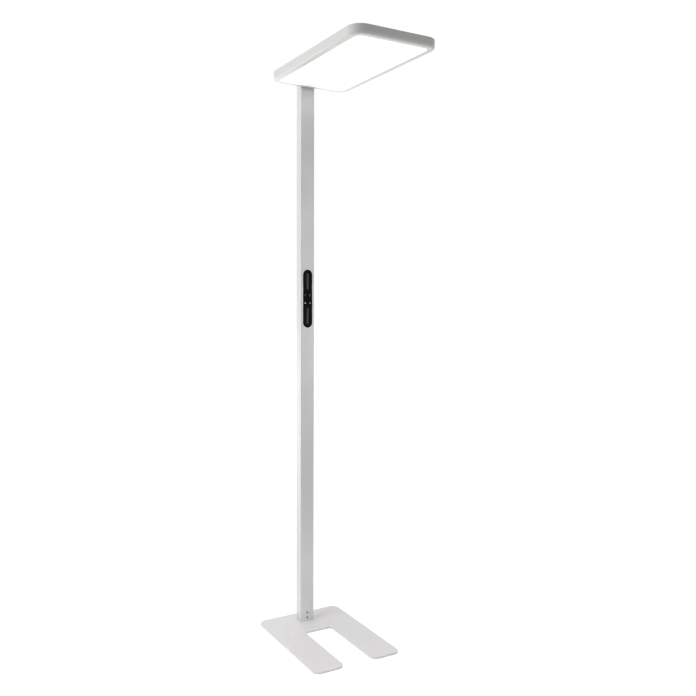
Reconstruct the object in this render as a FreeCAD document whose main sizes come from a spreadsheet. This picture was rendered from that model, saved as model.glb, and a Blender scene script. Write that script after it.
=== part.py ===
import FreeCAD, Part
import math
import os
import re

import Sketcher
from FreeCAD import Rotation, Vector

# An office floor lamp: a flat rectangular light head on a slim rectangular pole, a flat steel
# base with a notch for a desk leg, and a key panel let into the front of the pole.
# Millimetres.  Origin on the floor under the pole's axis, +Z up, head and base legs towards -Y.

SIZES = {
    # whole lamp
    "overall_height": 1950,      # top of the head above the floor
    # clearances shared by many pieces
    "screw_clearance": 0.4,      # added to a screw's diameter where it passes through
    "thread_clearance": 0.04,    # added to a screw's diameter where it is threaded in
    "joint_clearance": 0.15,     # all round a piece that drops into its recess
    "thread_runout": 1,          # a thread's hole beyond the end of its screw
    "socket_share": 0.4,         # depth of a screw's socket over its width
    # base
    "base_width": 320,
    "base_length": 455,
    "base_overhang": 61,         # rear edge behind the pole's axis
    "base_thickness": 6,
    "rear_corner": 28,
    "leg_corner": 24,
    "notch_width": 105,
    "notch_length": 290,
    "notch_corner": 12,
    "plate_edge_round": 0.8,
    "underlay_thickness": 1,
    "underlay_inset": 2,
    # screws that hold the pole's foot on the base, from below
    "base_screw": 6,
    "base_screw_head": 12,
    "base_screw_length": 22,
    "base_screw_sink": 0.3,
    "base_screw_span_x": 28,
    "base_screw_span_y": 14,
    "base_screw_key": 4,
    # block inside the pole's foot and its two front screws
    "foot_block_height": 56,
    "clamp_screw": 3,
    "clamp_screw_head": 5.4,
    "clamp_screw_head_height": 1.5,
    "clamp_screw_length": 14,
    "clamp_screw_height": 19,    # lower one above the floor
    "clamp_screw_spacing": 19,
    "clamp_screw_key": 2.5,
    # pole, a rectangular tube
    "pole_width": 52,
    "pole_depth": 36,
    "pole_wall": 2,
    "pole_corner": 1.5,
    "pole_inner_corner": 1,
    "cap_thickness": 2.5,
    "cap_edge_round": 1,
    "cap_screw": 3,
    "cap_screw_head": 5.4,
    "cap_screw_length": 10,
    "cap_screw_spacing": 34,
    "cap_screw_key": 2,
    # cable inlet, a bush in the pole's rear wall
    "inlet_height": 112,         # its axis above the floor
    "inlet_bore": 7.4,
    "inlet_hole": 12,
    "inlet_collar": 17,
    "inlet_collar_height": 2.2,
    "inlet_lip": 13.6,
    "inlet_lip_height": 1.6,
    "inlet_mouth_chamfer": 0.6,
    # terminal block on the foot block
    "terminal_width": 27,
    "terminal_depth": 14,
    "terminal_height": 20,
    "terminal_corner": 1,
    "terminal_flange": 3,
    "terminal_flange_width": 38,
    "terminal_pitch": 9,
    "terminal_entry": 3.6,
    "terminal_entry_depth": 12,
    "terminal_screw": 2.5,
    "terminal_screw_head": 4.4,
    "terminal_screw_head_height": 1.4,
    "terminal_screw_length": 8,
    "terminal_screw_spacing": 32.5,
    # leads inside the pole
    "supply_lead": 5,
    "control_lead": 4,
    "lead_spacing": 18,
    "lead_setback": 7,           # lead's axis behind the pole's axis
    "lead_bend": 14,
    "control_lead_bend": 9,
    # key panel on the pole's front
    "control_height": 1183.5,     # its centre above the floor
    "control_width": 36.6,
    "control_length": 207,
    "fascia_thickness": 2,
    "fascia_seat": 1.4,          # its seat behind the pole's face
    "frame_ring": 2.5,           # width of the white ring round the fascia
    "frame_proud": 0.2,          # ring above the fascia
    "ring_edge_round": 0.6,
    "mouth_wall": 1.1,           # tray's wall round the fascia
    "tray_wall": 2.1,            # behind the fascia
    "tray_floor": 1.5,
    "tray_depth": 21.6,
    "hook_reach": 1,
    "hook_depth": 2.4,
    "hook_width": 10,
    "hook_spacing": 120,
    # rocker keys
    "key_width": 20.4,
    "key_length": 70,
    "key_thickness": 2.4,
    "key_gap": 0.45,
    "key_edge_round": 0.5,
    "upper_key_offset": 61.4,    # above the panel's centre
    "lower_key_offset": 61.4,    # below it
    "ridge_width": 7,
    "ridge_length": 57,
    "ridge_height": 0.5,
    "ridge_chamfer": 0.35,
    "pivot_depth": 4.3,          # pivot pin's axis behind the fascia's face
    "pivot_pin": 1.5,
    "pivot_play": 0.1,           # on the pin's diameter, in the key
    "pin_hold": 0.02,            # on the pin's diameter, in the lugs
    "hub_inset": 0.5,            # hub's end inside the key's edge
    "hub_round": 2,              # hub's reach round the pin's axis
    "hub_corner": 1.6,
    "lug_thickness": 1.9,
    "lug_round": 2.6,            # lug's reach round the pin's axis
    "lug_corner": 1.5,
    "lug_gap": 0.4,              # between the key's opening and the lugs, seen from the front
    "key_post": 3,
    "key_post_spacing": 54,
    "key_post_travel": 1.3,      # room under a key's post
    # push buttons
    "button_diameter": 8.4,
    "button_gap": 0.3,
    "button_spacing": 18.8,
    "button_flange": 10,
    "button_flange_thickness": 1,
    "button_stem": 3,
    "button_proud": 0.2,
    "button_edge": 0.4,
    "button_room": 1,            # under a button's stem
    "upper_button_offset": 13,   # above the panel's centre
    "lower_button_offset": 14.3, # below it
    # circuit board of the panel
    "board_setback": 13.6,       # board's front behind the pole's face
    "board_thickness": 1.6,
    "board_margin": 0.5,
    "board_boss": 5.6,
    "board_screw": 2.2,
    "board_screw_head": 4,
    "board_screw_head_height": 1.3,
    "board_screw_length": 6,
    "switch_size": 6,
    "switch_height": 3.4,
    "switch_plunger": 3.4,
    "switch_plunger_height": 0.8,
    # window in the tray for the control lead
    "lead_window_offset": 74,    # lead's end above the panel's centre
    "lead_window_width": 8,
    "lead_window_below": 8,
    "lead_window_above": 16,
    "lead_window_corner": 1,
    # head
    "head_width": 294,
    "head_length": 580,
    "head_thickness": 27.5,
    "head_corner": 44,
    "head_wall": 2,
    "head_edge_round": 8.5,
    "rim_thickness": 2.5,
    "rim_inset": 21.5,           # edge of the lit area inside the head's outline
    "cover_thickness": 1.5,
    "cover_ledge": 1,
    # optics that lie on the rim
    "diffuser_overlap": 6,
    "diffuser_flange": 1.5,
    "diffuser_recess": 0.3,      # lit face above the underside
    "diffuser_gap": 0.2,
    "guide_thickness": 4,
    "reflector_thickness": 1,
    "strip_thickness": 1.6,
    "strip_height": 5,
    "strip_end_inset": 40,
    "strip_gap": 0.3,
    # chassis plate that carries the head
    "chassis_thickness": 1.5,
    "chassis_gap": 1,
    "chassis_flange_width": 110,
    "head_bolt": 4,
    "head_bolt_head": 7,
    "head_bolt_head_height": 4,
    "head_bolt_length": 14,
    "head_bolt_key": 3,
    "head_bolt_span_x": 35,
    "head_bolt_span_z": 7.5,
    "lead_slot_width": 24,
    "lead_slot_height": 9,
    "lead_slot_corner": 2.2,
    "lead_slot_depth": 13,       # into the head block, behind the pole's axis
    "head_block_height": 32,
    "boss_diameter": 6.5,
    "boss_inset": 8.3,
    "boss_end_inset": 42.5,
    "chassis_screw": 3,
    "chassis_screw_head": 5.5,
    "chassis_screw_head_height": 1.8,
    "chassis_screw_length": 7,
    # standoffs between chassis and cover
    "standoff_flats": 5.5,
    "standoff_peg": 4,
    "standoff_inset": 20,
    "standoff_end_inset": 35,
    "cover_screw": 3,
    "cover_screw_head": 5.2,
    "cover_screw_length": 8,
    "cover_screw_key": 2,
    # upward light
    "window_side_inset": 72,
    "window_front_inset": 40,
    "window_driver_gap": 46,
    "window_corner": 20,
    "lens_overlap": 6,
    "lens_flange": 1.5,
    "up_board_margin": 10,
    "up_board_thickness": 1.6,
    "up_board_corner": 3,
    "chip_size": 5,
    "chip_height": 0.8,
    "chip_margin": 11,
    # driver
    "driver_width": 58,
    "driver_length": 190,
    "driver_height": 14,
    "driver_setback": 45,        # its rear end in front of the head's rear wall
    "driver_corner": 4,
    "driver_foot": 9,
    "driver_foot_thickness": 1.2,
    "driver_screw": 3,
    "driver_screw_head": 5.5,
    "driver_screw_head_height": 1.8,
}

# How many there are of the repeated things.
BOSS_ROWS = 4
STANDOFF_ROWS = 3
CHIP_COLUMNS = 4
CHIP_ROWS = 6

# Places and sizes that follow from the ones above.
FOLLOWING = {
    "plate_top": "(underlay_thickness + base_thickness)",
    "base_front": "(base_overhang - base_length)",
    "pole_front": "(-pole_depth / 2)",
    "pole_top": "(overall_height - cap_thickness)",
    "pole_inside_width": "(pole_width - 2 * pole_wall)",
    "pole_inside_depth": "(pole_depth - 2 * pole_wall)",
    "foot_block_top": "(plate_top + foot_block_height)",
    "terminal_top": "(foot_block_top + terminal_height)",
    "head_underside": "(overall_height - head_thickness)",
    "optics_top": "(rim_thickness + diffuser_flange + guide_thickness + reflector_thickness)",
    "chassis_level": "max(optics_top; rim_thickness + head_edge_round - head_wall)",
    "chassis_top": "(chassis_level + chassis_thickness)",
    "cover_underside": "(head_thickness - cover_thickness)",
    "bolt_level": "((chassis_top + cover_underside) / 2)",
    "lit_width": "(head_width - 2 * rim_inset)",
    "lit_length": "(head_length - 2 * rim_inset)",
    "lit_corner": "(head_corner - rim_inset)",
    "optics_inset": "(rim_inset - diffuser_overlap)",
    "face_level": "(fascia_thickness - fascia_seat)",
    "frame_height": "(fascia_thickness - fascia_seat + frame_proud)",
    "recess_width": "(control_width + 2 * joint_clearance)",
    "recess_length": "(control_length + 2 * joint_clearance)",
    "tray_width": "(recess_width + 2 * mouth_wall)",
    "tray_length": "(recess_length + 2 * mouth_wall)",
    "tray_inside_width": "(tray_width - 2 * tray_wall)",
    "tray_inside_length": "(tray_length - 2 * tray_wall)",
    "key_level": "(face_level - pivot_depth)",
    "key_opening_width": "(key_width + 2 * key_gap)",
    "hub_width": "(key_width - 2 * hub_inset)",
    "key_opening_length": "(key_length + 2 * key_gap)",
    "lug_inside": "(key_opening_width / 2 + lug_gap)",
    "lug_outside": "(lug_inside + lug_thickness)",
    "plunger_level": "(board_setback - switch_height - switch_plunger_height)",
    "board_width": "(tray_inside_width - 2 * board_margin)",
    "board_length": "(tray_inside_length - 2 * board_margin)",
    "driver_rear": "(pole_front - driver_setback)",
    "driver_screw_length": "(driver_foot_thickness + chassis_thickness)",
    "strip_length": "(head_length - 2 * strip_end_inset)",
    "boss_pitch": "((head_length - 2 * boss_end_inset) / %d)" % (BOSS_ROWS - 1),
    "standoff_pitch": "((head_length - 2 * standoff_end_inset) / %d)" % (STANDOFF_ROWS - 1),
    "window_width": "(head_width - 2 * window_side_inset)",
    "window_setback": "(driver_setback + driver_length + driver_foot + window_driver_gap)",
    "window_length": "(head_length - window_front_inset - window_setback)",
    "up_board_width": "(window_width - 2 * up_board_margin)",
    "up_board_length": "(window_length - 2 * up_board_margin)",
    "chip_span_x": "(up_board_width - 2 * chip_margin - chip_size)",
    "chip_span_y": "(up_board_length - 2 * chip_margin - chip_size)",
    "chip_pitch_x": "(chip_span_x / %d)" % (CHIP_COLUMNS - 1),
    "chip_pitch_y": "(chip_span_y / %d)" % (CHIP_ROWS - 1),
    "lead_exit": "(head_underside + bolt_level)",
}

doc = FreeCAD.newDocument("floor_lamp")
sheet = doc.addObject("Spreadsheet::Sheet", "Sizes")
for row, (size_name, number) in enumerate(SIZES.items(), start=1):
    sheet.set("A%d" % row, size_name)
    sheet.set("B%d" % row, str(number))
    sheet.setAlias("B%d" % row, size_name)
doc.recompute()

PIECES = []


# ---------------------------------------------------------------- sizes and formulas

def spelled(formula):
    """Write a formula of size names out in the sheet's own cells."""
    def cell(match):
        word = match.group()
        if word in FOLLOWING:
            return spelled(FOLLOWING[word])
        return "Sizes." + word if word in SIZES else word
    return re.sub(r"[a-z][a-z_]*", cell, str(formula))


def value(formula):
    """The number that a formula of size names gives."""
    return float(sheet.evalExpression(spelled(formula)))


def bind(item, prop, formula):
    """Tie a property of an object to the size sheet."""
    item.setExpression(prop, spelled(formula))


# ---------------------------------------------------------------- bodies and sketches

def new_body(label, x="0", y="0", z="0", turn=None):
    """Start a sub-part at its place; turn is an angle about the X axis."""
    body = doc.addObject("PartDesign::Body", label)
    body.Label = label
    body.AllowCompound = True
    if turn:
        body.Placement = FreeCAD.Placement(Vector(0, 0, 0), Rotation(Vector(1, 0, 0), turn))
    bind(body, "Placement.Base.x", x)
    bind(body, "Placement.Base.y", y)
    bind(body, "Placement.Base.z", z)
    PIECES.append(body)
    return body


def origin_part(body, role):
    """One of a body's own origin planes or axes."""
    return next(item for item in body.Origin.OriginFeatures if item.Role == role)


def sketch_on(body, name, plane="XY_Plane", offset="0"):
    """A sketch on an origin plane of the body, moved along the plane's normal."""
    sketch = body.newObject("Sketcher::SketchObject", name)
    sketch.AttachmentSupport = [(origin_part(body, plane), "")]
    sketch.MapMode = "FlatFace"
    bind(sketch, "AttachmentOffset.Base.z", offset)
    return sketch


def constrain(sketch, formula, kind, *where):
    """Add a sketch dimension and tie it to the size sheet."""
    index = sketch.addConstraint(Sketcher.Constraint(kind, *where, value(formula)))
    bind(sketch, "Constraints[%d]" % index, formula)


def circle(sketch, x, y, diameter):
    """A circle by its centre and diameter."""
    shape = Part.Circle(Vector(value(x), value(y), 0), Vector(0, 0, 1), value(diameter) / 2)
    index = sketch.addGeometry(shape, False)
    constrain(sketch, x, "DistanceX", index, 3)
    constrain(sketch, y, "DistanceY", index, 3)
    constrain(sketch, diameter, "Diameter", index)


def polygon(sketch, points):
    """A closed outline of straight lines through (x, y) points."""
    places = [Vector(value(x), value(y), 0) for x, y in points]
    count = len(points)
    for index in range(count):
        line = Part.LineSegment(places[index], places[(index + 1) % count])
        sketch.addGeometry(line, False)
    for index, (x, y) in enumerate(points):
        sketch.addConstraint(Sketcher.Constraint("Coincident", index, 2, (index + 1) % count, 1))
        constrain(sketch, x, "DistanceX", index, 1)
        constrain(sketch, y, "DistanceY", index, 1)


def outline(sketch, corners, closed=True):
    """Level and upright lines through (x, y, radius) corners, counter-clockwise if closed."""
    places = [Vector(value(x), value(y), 0) for x, y, radius in corners]
    radii = [value(radius) for x, y, radius in corners]
    count = len(corners)
    first = sketch.GeometryCount
    edges = count if closed else count - 1
    for index in range(edges):
        start, end = places[index], places[(index + 1) % count]
        along = (end - start).normalize()
        line = Part.LineSegment(start + along * radii[index], end - along * radii[(index + 1) % count])
        sketch.addGeometry(line, False)
    for index in range(edges):
        x, y, radius = corners[index]
        upright = abs(places[index].x - places[(index + 1) % count].x) < 1e-6
        sketch.addConstraint(Sketcher.Constraint("Vertical" if upright else "Horizontal", first + index))
        if upright:
            constrain(sketch, x, "DistanceX", first + index, 1)
        else:
            constrain(sketch, y, "DistanceY", first + index, 1)
    for index in range(count if closed else count - 1):
        if not closed and index == 0:
            continue
        before, after = first + (index - 1) % edges, first + index
        if radii[index] == 0:
            sketch.addConstraint(Sketcher.Constraint("Coincident", before, 2, after, 1))
            continue
        to_before = (places[index - 1] - places[index]).normalize()
        to_after = (places[(index + 1) % count] - places[index]).normalize()
        centre = places[index] + (to_before + to_after) * radii[index]
        entry, leave = places[index] + to_before * radii[index], places[index] + to_after * radii[index]
        turns_left = (to_after.cross(to_before)).z > 0
        begin, finish = (entry, leave) if turns_left else (leave, entry)
        angles = [math.atan2(point.y - centre.y, point.x - centre.x) for point in (begin, finish)]
        round_corner = Part.Circle(centre, Vector(0, 0, 1), radii[index])
        arc = sketch.addGeometry(Part.ArcOfCircle(round_corner, *angles), False)
        ends = (1, 2) if turns_left else (2, 1)
        sketch.addConstraint(Sketcher.Constraint("Tangent", before, 2, arc, ends[0]))
        sketch.addConstraint(Sketcher.Constraint("Tangent", arc, ends[1], after, 1))
        constrain(sketch, corners[index][2], "Radius", arc)
    if not closed:
        for line, end, corner in ((first, 1, corners[0]), (first + edges - 1, 2, corners[-1])):
            near = places[0] - places[1] if end == 1 else places[-1] - places[-2]
            if abs(near.x) > abs(near.y):
                constrain(sketch, corner[0], "DistanceX", line, end)
            else:
                constrain(sketch, corner[1], "DistanceY", line, end)


def rectangle(sketch, x_low, x_high, y_low, y_high, radius="0"):
    """A rectangle with rounded corners."""
    outline(sketch, [(x_low, y_low, radius), (x_high, y_low, radius),
                     (x_high, y_high, radius), (x_low, y_high, radius)])


def stadium(sketch, x, y, width, length):
    """A long shape with half-round ends, upright in the sketch."""
    middle = Vector(value(x), value(y), 0)
    half, reach = value(width) / 2, (value(length) - value(width)) / 2
    first = sketch.GeometryCount
    for side in (1, -1):
        sketch.addGeometry(Part.LineSegment(middle + Vector(side * half, -side * reach, 0),
                                            middle + Vector(side * half, side * reach, 0)), False)
    for side, start in ((1, 0), (-1, math.pi)):
        end_round = Part.Circle(middle + Vector(0, side * reach, 0), Vector(0, 0, 1), half)
        sketch.addGeometry(Part.ArcOfCircle(end_round, start, start + math.pi), False)
    right, left, top, bottom = range(first, first + 4)
    for one, one_end, other, other_end in ((right, 2, top, 1), (top, 2, left, 1),
                                           (left, 2, bottom, 1), (bottom, 2, right, 1)):
        sketch.addConstraint(Sketcher.Constraint("Tangent", one, one_end, other, other_end))
    sketch.addConstraint(Sketcher.Constraint("Vertical", right))
    sketch.addConstraint(Sketcher.Constraint("Vertical", left))
    constrain(sketch, "(%s) / 2" % width, "Radius", top)
    constrain(sketch, x, "DistanceX", top, 3)
    constrain(sketch, "(%s) + ((%s) - (%s)) / 2" % (y, length, width), "DistanceY", top, 3)
    constrain(sketch, "(%s) - ((%s) - (%s)) / 2" % (y, length, width), "DistanceY", bottom, 3)


def hexagon(sketch, flats):
    """A hexagon about the sketch's origin by its width across flats."""
    angles = [math.radians(60 * step) for step in range(6)]
    reach = "(%s) / %.12f" % (flats, math.sqrt(3))
    polygon(sketch, [("%s * (%.12f)" % (reach, math.cos(angle)),
                      "%s * (%.12f)" % (reach, math.sin(angle))) for angle in angles])


# ---------------------------------------------------------------- features

def pad(body, name, sketch, length, back=False, both=False):
    """Extrude a sketch along its normal, against it, or both ways."""
    feature = body.newObject("PartDesign::Pad", name)
    feature.Profile = sketch
    bind(feature, "Length", length)
    feature.Reversed = back
    feature.Midplane = both
    body.Tip = feature
    doc.recompute()
    return feature


def pocket(body, name, sketch, depth=None, back=False, both=False):
    """Cut a sketch into the body against its normal; back turns it, no depth goes through."""
    before = body.Shape.Volume
    feature = body.newObject("PartDesign::Pocket", name)
    feature.Profile = sketch
    if depth is None:
        feature.Type = "ThroughAll"
    else:
        bind(feature, "Length", depth)
    feature.Reversed = back
    feature.Midplane = both
    body.Tip = feature
    doc.recompute()
    if body.Shape.Volume >= before:
        raise ValueError("%s in %s cuts nothing" % (name, body.Label))
    return feature


def turned(body, name, points):
    """A turned form: a profile of (radius, height) points about the body's Z axis."""
    sketch = sketch_on(body, name + "_profile", "XZ_Plane")
    polygon(sketch, points)
    feature = body.newObject("PartDesign::Revolution", name)
    feature.Profile = sketch
    feature.ReferenceAxis = (sketch, ["V_Axis"])
    feature.Angle = 360
    body.Tip = feature
    doc.recompute()
    return feature


def spread(body, name, features, pitch_x="0", count_x=1, pitch_y="0", count_y=1):
    """Repeat features in rows along the body's X and Y axes."""
    feature = body.newObject("PartDesign::LinearPattern", name)
    feature.Originals = features
    feature.Direction = (origin_part(body, "X_Axis"), [""])
    feature.Occurrences = count_x
    if count_x > 1:
        bind(feature, "Length", "%d * (%s)" % (count_x - 1, pitch_x))
    feature.Direction2 = (origin_part(body, "Y_Axis"), [""])
    feature.Occurrences2 = count_y
    if count_y > 1:
        bind(feature, "Length2", "%d * (%s)" % (count_y - 1, pitch_y))
    body.Tip = feature
    doc.recompute()
    return feature


def edge_names(body, wanted):
    """The names of the tip's edges that the test picks."""
    edges = body.Tip.Shape.Edges
    return ["Edge%d" % (index + 1) for index, edge in enumerate(edges) if wanted(edge)]


def at_height(edge, height):
    """Whether an edge lies level at a height in its body."""
    box = edge.BoundBox
    return abs(box.ZMin - height) < 1e-4 and abs(box.ZMax - height) < 1e-4


def rim_edges(body, height, facing):
    """The outer edges of the level face at a height that faces up (1) or down (-1)."""
    for face in body.Tip.Shape.Faces:
        box = face.BoundBox
        level = abs(box.ZMin - height) < 1e-4 and abs(box.ZMax - height) < 1e-4
        if level and face.normalAt(0, 0).z * facing > 0.5:
            ring = face.OuterWire.Edges
            return edge_names(body, lambda edge: any(edge.isSame(other) for other in ring))
    raise ValueError("no level face at %s in %s" % (height, body.Label))


def dress(body, kind, name, names, size):
    """Round ("Fillet") or bevel ("Chamfer") the named edges of the tip."""
    base = body.Tip
    feature = body.newObject("PartDesign::" + kind, name)
    feature.Base = (base, names)
    bind(feature, "Radius" if kind == "Fillet" else "Size", size)
    body.Tip = feature
    doc.recompute()
    return feature


def screws(label, screw, head_height, key, place, turn, rows, flat=False):
    """A group of equal screws: the head faces local +Z and bears at z = 0.

    screw names the sizes, rows holds the pattern's pitches and counts."""
    radius, head = "%s / 2" % screw, "%s_head / 2" % screw
    length = "%s_length" % screw
    body = new_body(label, *place, turn=turn)
    if flat:
        profile = [("0", "0"), (head, "0"), (radius, "-(%s - %s)" % (head, radius)),
                   (radius, "-" + length), ("0", "-" + length)]
    else:
        profile = [("0", head_height), (head, head_height), (head, "0"), (radius, "0"),
                   (radius, "-" + length), ("0", "-" + length)]
    features = [turned(body, "blank", profile)]
    if key:
        top = "0" if flat else head_height
        socket = sketch_on(body, "socket", offset=top)
        hexagon(socket, key)
        features.append(pocket(body, "socket_cut", socket, "%s * socket_share" % key))
    spread(body, "group", features, **rows)
    return body


# ---------------------------------------------------------------- base

def base_outline(sketch, inset):
    """The base's outline with its notch, drawn in by an inset."""
    side = "(base_width / 2 - %s)" % inset
    notch = "(notch_width / 2 + %s)" % inset
    rear = "(base_overhang - %s)" % inset
    front = "(base_front + %s)" % inset
    notch_end = "(base_front + notch_length + %s)" % inset
    leg = "leg_corner - %s" % inset
    outline(sketch, [
        ("-" + side, front, leg), ("-" + notch, front, leg),
        ("-" + notch, notch_end, "notch_corner + %s" % inset),
        (notch, notch_end, "notch_corner + %s" % inset),
        (notch, front, leg), (side, front, leg),
        (side, rear, "rear_corner - %s" % inset), ("-" + side, rear, "rear_corner - %s" % inset)])


def make_base_plate():
    """The flat steel foot, countersunk from below for the pole's screws."""
    body = new_body("base_plate", z="underlay_thickness")
    plate = sketch_on(body, "plate_outline")
    base_outline(plate, "0")
    pad(body, "plate", plate, "base_thickness")
    holes = sketch_on(body, "screw_holes")
    for side_x in ("-", ""):
        for side_y in ("-", ""):
            circle(holes, side_x + "base_screw_span_x / 2", side_y + "base_screw_span_y / 2",
                   "base_screw + screw_clearance")
    pocket(body, "screw_passages", holes, back=True)
    mouths = edge_names(body, lambda edge: at_height(edge, 0) and len(edge.Vertexes) == 1)
    dress(body, "Chamfer", "countersinks", mouths,
          "(base_screw_head - base_screw - screw_clearance) / 2 + base_screw_sink")
    dress(body, "Fillet", "top_edge", rim_edges(body, value("base_thickness"), 1), "plate_edge_round")


def make_base_underlay():
    """The thin felt sheet under the plate, which covers the screws."""
    body = new_body("base_underlay")
    sheet_outline = sketch_on(body, "felt_outline")
    base_outline(sheet_outline, "underlay_inset")
    pad(body, "felt", sheet_outline, "underlay_thickness")


def make_base_screws():
    """Four countersunk screws, heads down in the plate."""
    screws("base_screws", "base_screw", None, "base_screw_key",
           ("-base_screw_span_x / 2", "base_screw_span_y / 2",
            "underlay_thickness + base_screw_sink"), 180,
           dict(pitch_x="base_screw_span_x", count_x=2, pitch_y="base_screw_span_y", count_y=2),
           flat=True)


def make_foot_block():
    """The solid block inside the pole's foot, tapped from below, in front and on top."""
    body = new_body("foot_block", z="plate_top")
    half_width = "(pole_inside_width / 2 - joint_clearance)"
    half_depth = "(pole_inside_depth / 2 - joint_clearance)"
    block = sketch_on(body, "block_outline")
    rectangle(block, "-" + half_width, half_width, "-" + half_depth, half_depth,
              "pole_inner_corner")
    pad(body, "block", block, "foot_block_height")
    from_below = sketch_on(body, "base_threads")
    for side_x in ("-", ""):
        for side_y in ("-", ""):
            circle(from_below, side_x + "base_screw_span_x / 2", side_y + "base_screw_span_y / 2",
                   "base_screw + thread_clearance")
    pocket(body, "base_thread_holes", from_below, "base_screw_length", back=True)
    from_front = sketch_on(body, "clamp_threads", "XZ_Plane", half_depth)
    for step in range(2):
        circle(from_front, "0",
               "clamp_screw_height + %d * clamp_screw_spacing - plate_top" % step,
               "clamp_screw + thread_clearance")
    pocket(body, "clamp_thread_holes", from_front, "clamp_screw_length")
    on_top = sketch_on(body, "terminal_threads", offset="foot_block_height")
    for side in ("-", ""):
        circle(on_top, side + "terminal_screw_spacing / 2", "lead_setback",
               "terminal_screw + thread_clearance")
    pocket(body, "terminal_thread_holes", on_top, "terminal_screw_length")


def make_clamp_screws():
    """Two dark screws through the pole's front wall into the foot block."""
    screws("clamp_screws", "clamp_screw", "clamp_screw_head_height", "clamp_screw_key",
           ("0", "pole_front", "clamp_screw_height"), 90,
           dict(pitch_y="clamp_screw_spacing", count_y=2))


# ---------------------------------------------------------------- pole

def make_pole():
    """The extruded tube with its openings for the key panel, inlet, screws and leads."""
    body = new_body("pole", z="plate_top")
    section = sketch_on(body, "tube_section")
    rectangle(section, "-pole_width / 2", "pole_width / 2", "-pole_depth / 2", "pole_depth / 2",
              "pole_corner")
    rectangle(section, "-pole_inside_width / 2", "pole_inside_width / 2",
              "-pole_inside_depth / 2", "pole_inside_depth / 2", "pole_inner_corner")
    pad(body, "tube", section, "pole_top - plate_top")
    front = sketch_on(body, "front_openings", "XZ_Plane")
    stadium(front, "0", "control_height - plate_top", "tray_width + 2 * joint_clearance",
            "tray_length + 2 * joint_clearance")
    for step in range(2):
        circle(front, "0", "clamp_screw_height + %d * clamp_screw_spacing - plate_top" % step,
               "clamp_screw + screw_clearance")
    for side_x in ("-", ""):
        for side_z in ("-", "+"):
            circle(front, side_x + "head_bolt_span_x / 2",
                   "lead_exit %s head_bolt_span_z / 2 - plate_top" % side_z,
                   "head_bolt + screw_clearance")
    rectangle(front, "-lead_slot_width / 2", "lead_slot_width / 2",
              "lead_exit - lead_slot_height / 2 - plate_top",
              "lead_exit + lead_slot_height / 2 - plate_top", "lead_slot_corner")
    pocket(body, "front_cuts", front, back=True)
    rear = sketch_on(body, "inlet_hole_circle", "XZ_Plane")
    circle(rear, "0", "inlet_height - plate_top", "inlet_hole")
    pocket(body, "inlet_cut", rear)


def make_pole_cap():
    """The flat cap on the pole's top, countersunk for two screws."""
    body = new_body("pole_cap", z="pole_top")
    cap = sketch_on(body, "cap_outline")
    rectangle(cap, "-pole_width / 2", "pole_width / 2", "-pole_depth / 2", "pole_depth / 2",
              "pole_corner")
    pad(body, "cap", cap, "cap_thickness")
    holes = sketch_on(body, "cap_holes")
    for side in ("-", ""):
        circle(holes, side + "cap_screw_spacing / 2", "0", "cap_screw + screw_clearance")
    pocket(body, "cap_passages", holes, back=True)
    top = value("cap_thickness")
    mouths = edge_names(body, lambda edge: at_height(edge, top) and len(edge.Vertexes) == 1)
    dress(body, "Chamfer", "cap_countersinks", mouths,
          "(cap_screw_head - cap_screw - screw_clearance) / 2")
    dress(body, "Fillet", "cap_edge", rim_edges(body, top, 1), "cap_edge_round")


def make_cap_screws():
    """Two countersunk screws that hold the cap on the head block."""
    screws("cap_screws", "cap_screw", None, "cap_screw_key",
           ("-cap_screw_spacing / 2", "0", "overall_height"), None,
           dict(pitch_x="cap_screw_spacing", count_x=2), flat=True)


def make_cable_inlet():
    """The bush in the rear wall that a mains cable passes through."""
    body = new_body("cable_inlet", y="pole_depth / 2", z="inlet_height", turn=-90)
    bore, mouth = "inlet_bore / 2", "inlet_mouth_chamfer"
    behind_wall = "(pole_wall + joint_clearance)"
    inner_end = "(pole_wall + joint_clearance + inlet_lip_height)"
    neck = "inlet_hole / 2 - joint_clearance"
    turned(body, "bush", [
        (bore + " + " + mouth, "inlet_collar_height"),
        (bore, "inlet_collar_height - " + mouth),
        (bore, "-%s + %s" % (inner_end, mouth)),
        (bore + " + " + mouth, "-" + inner_end),
        ("inlet_lip / 2 - " + mouth, "-" + inner_end),
        ("inlet_lip / 2", "-" + behind_wall),
        (neck, "-" + behind_wall),
        (neck, "0"),
        ("inlet_collar / 2", "0"),
        ("inlet_collar / 2", "inlet_collar_height - " + mouth),
        ("inlet_collar / 2 - " + mouth, "inlet_collar_height")])


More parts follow.
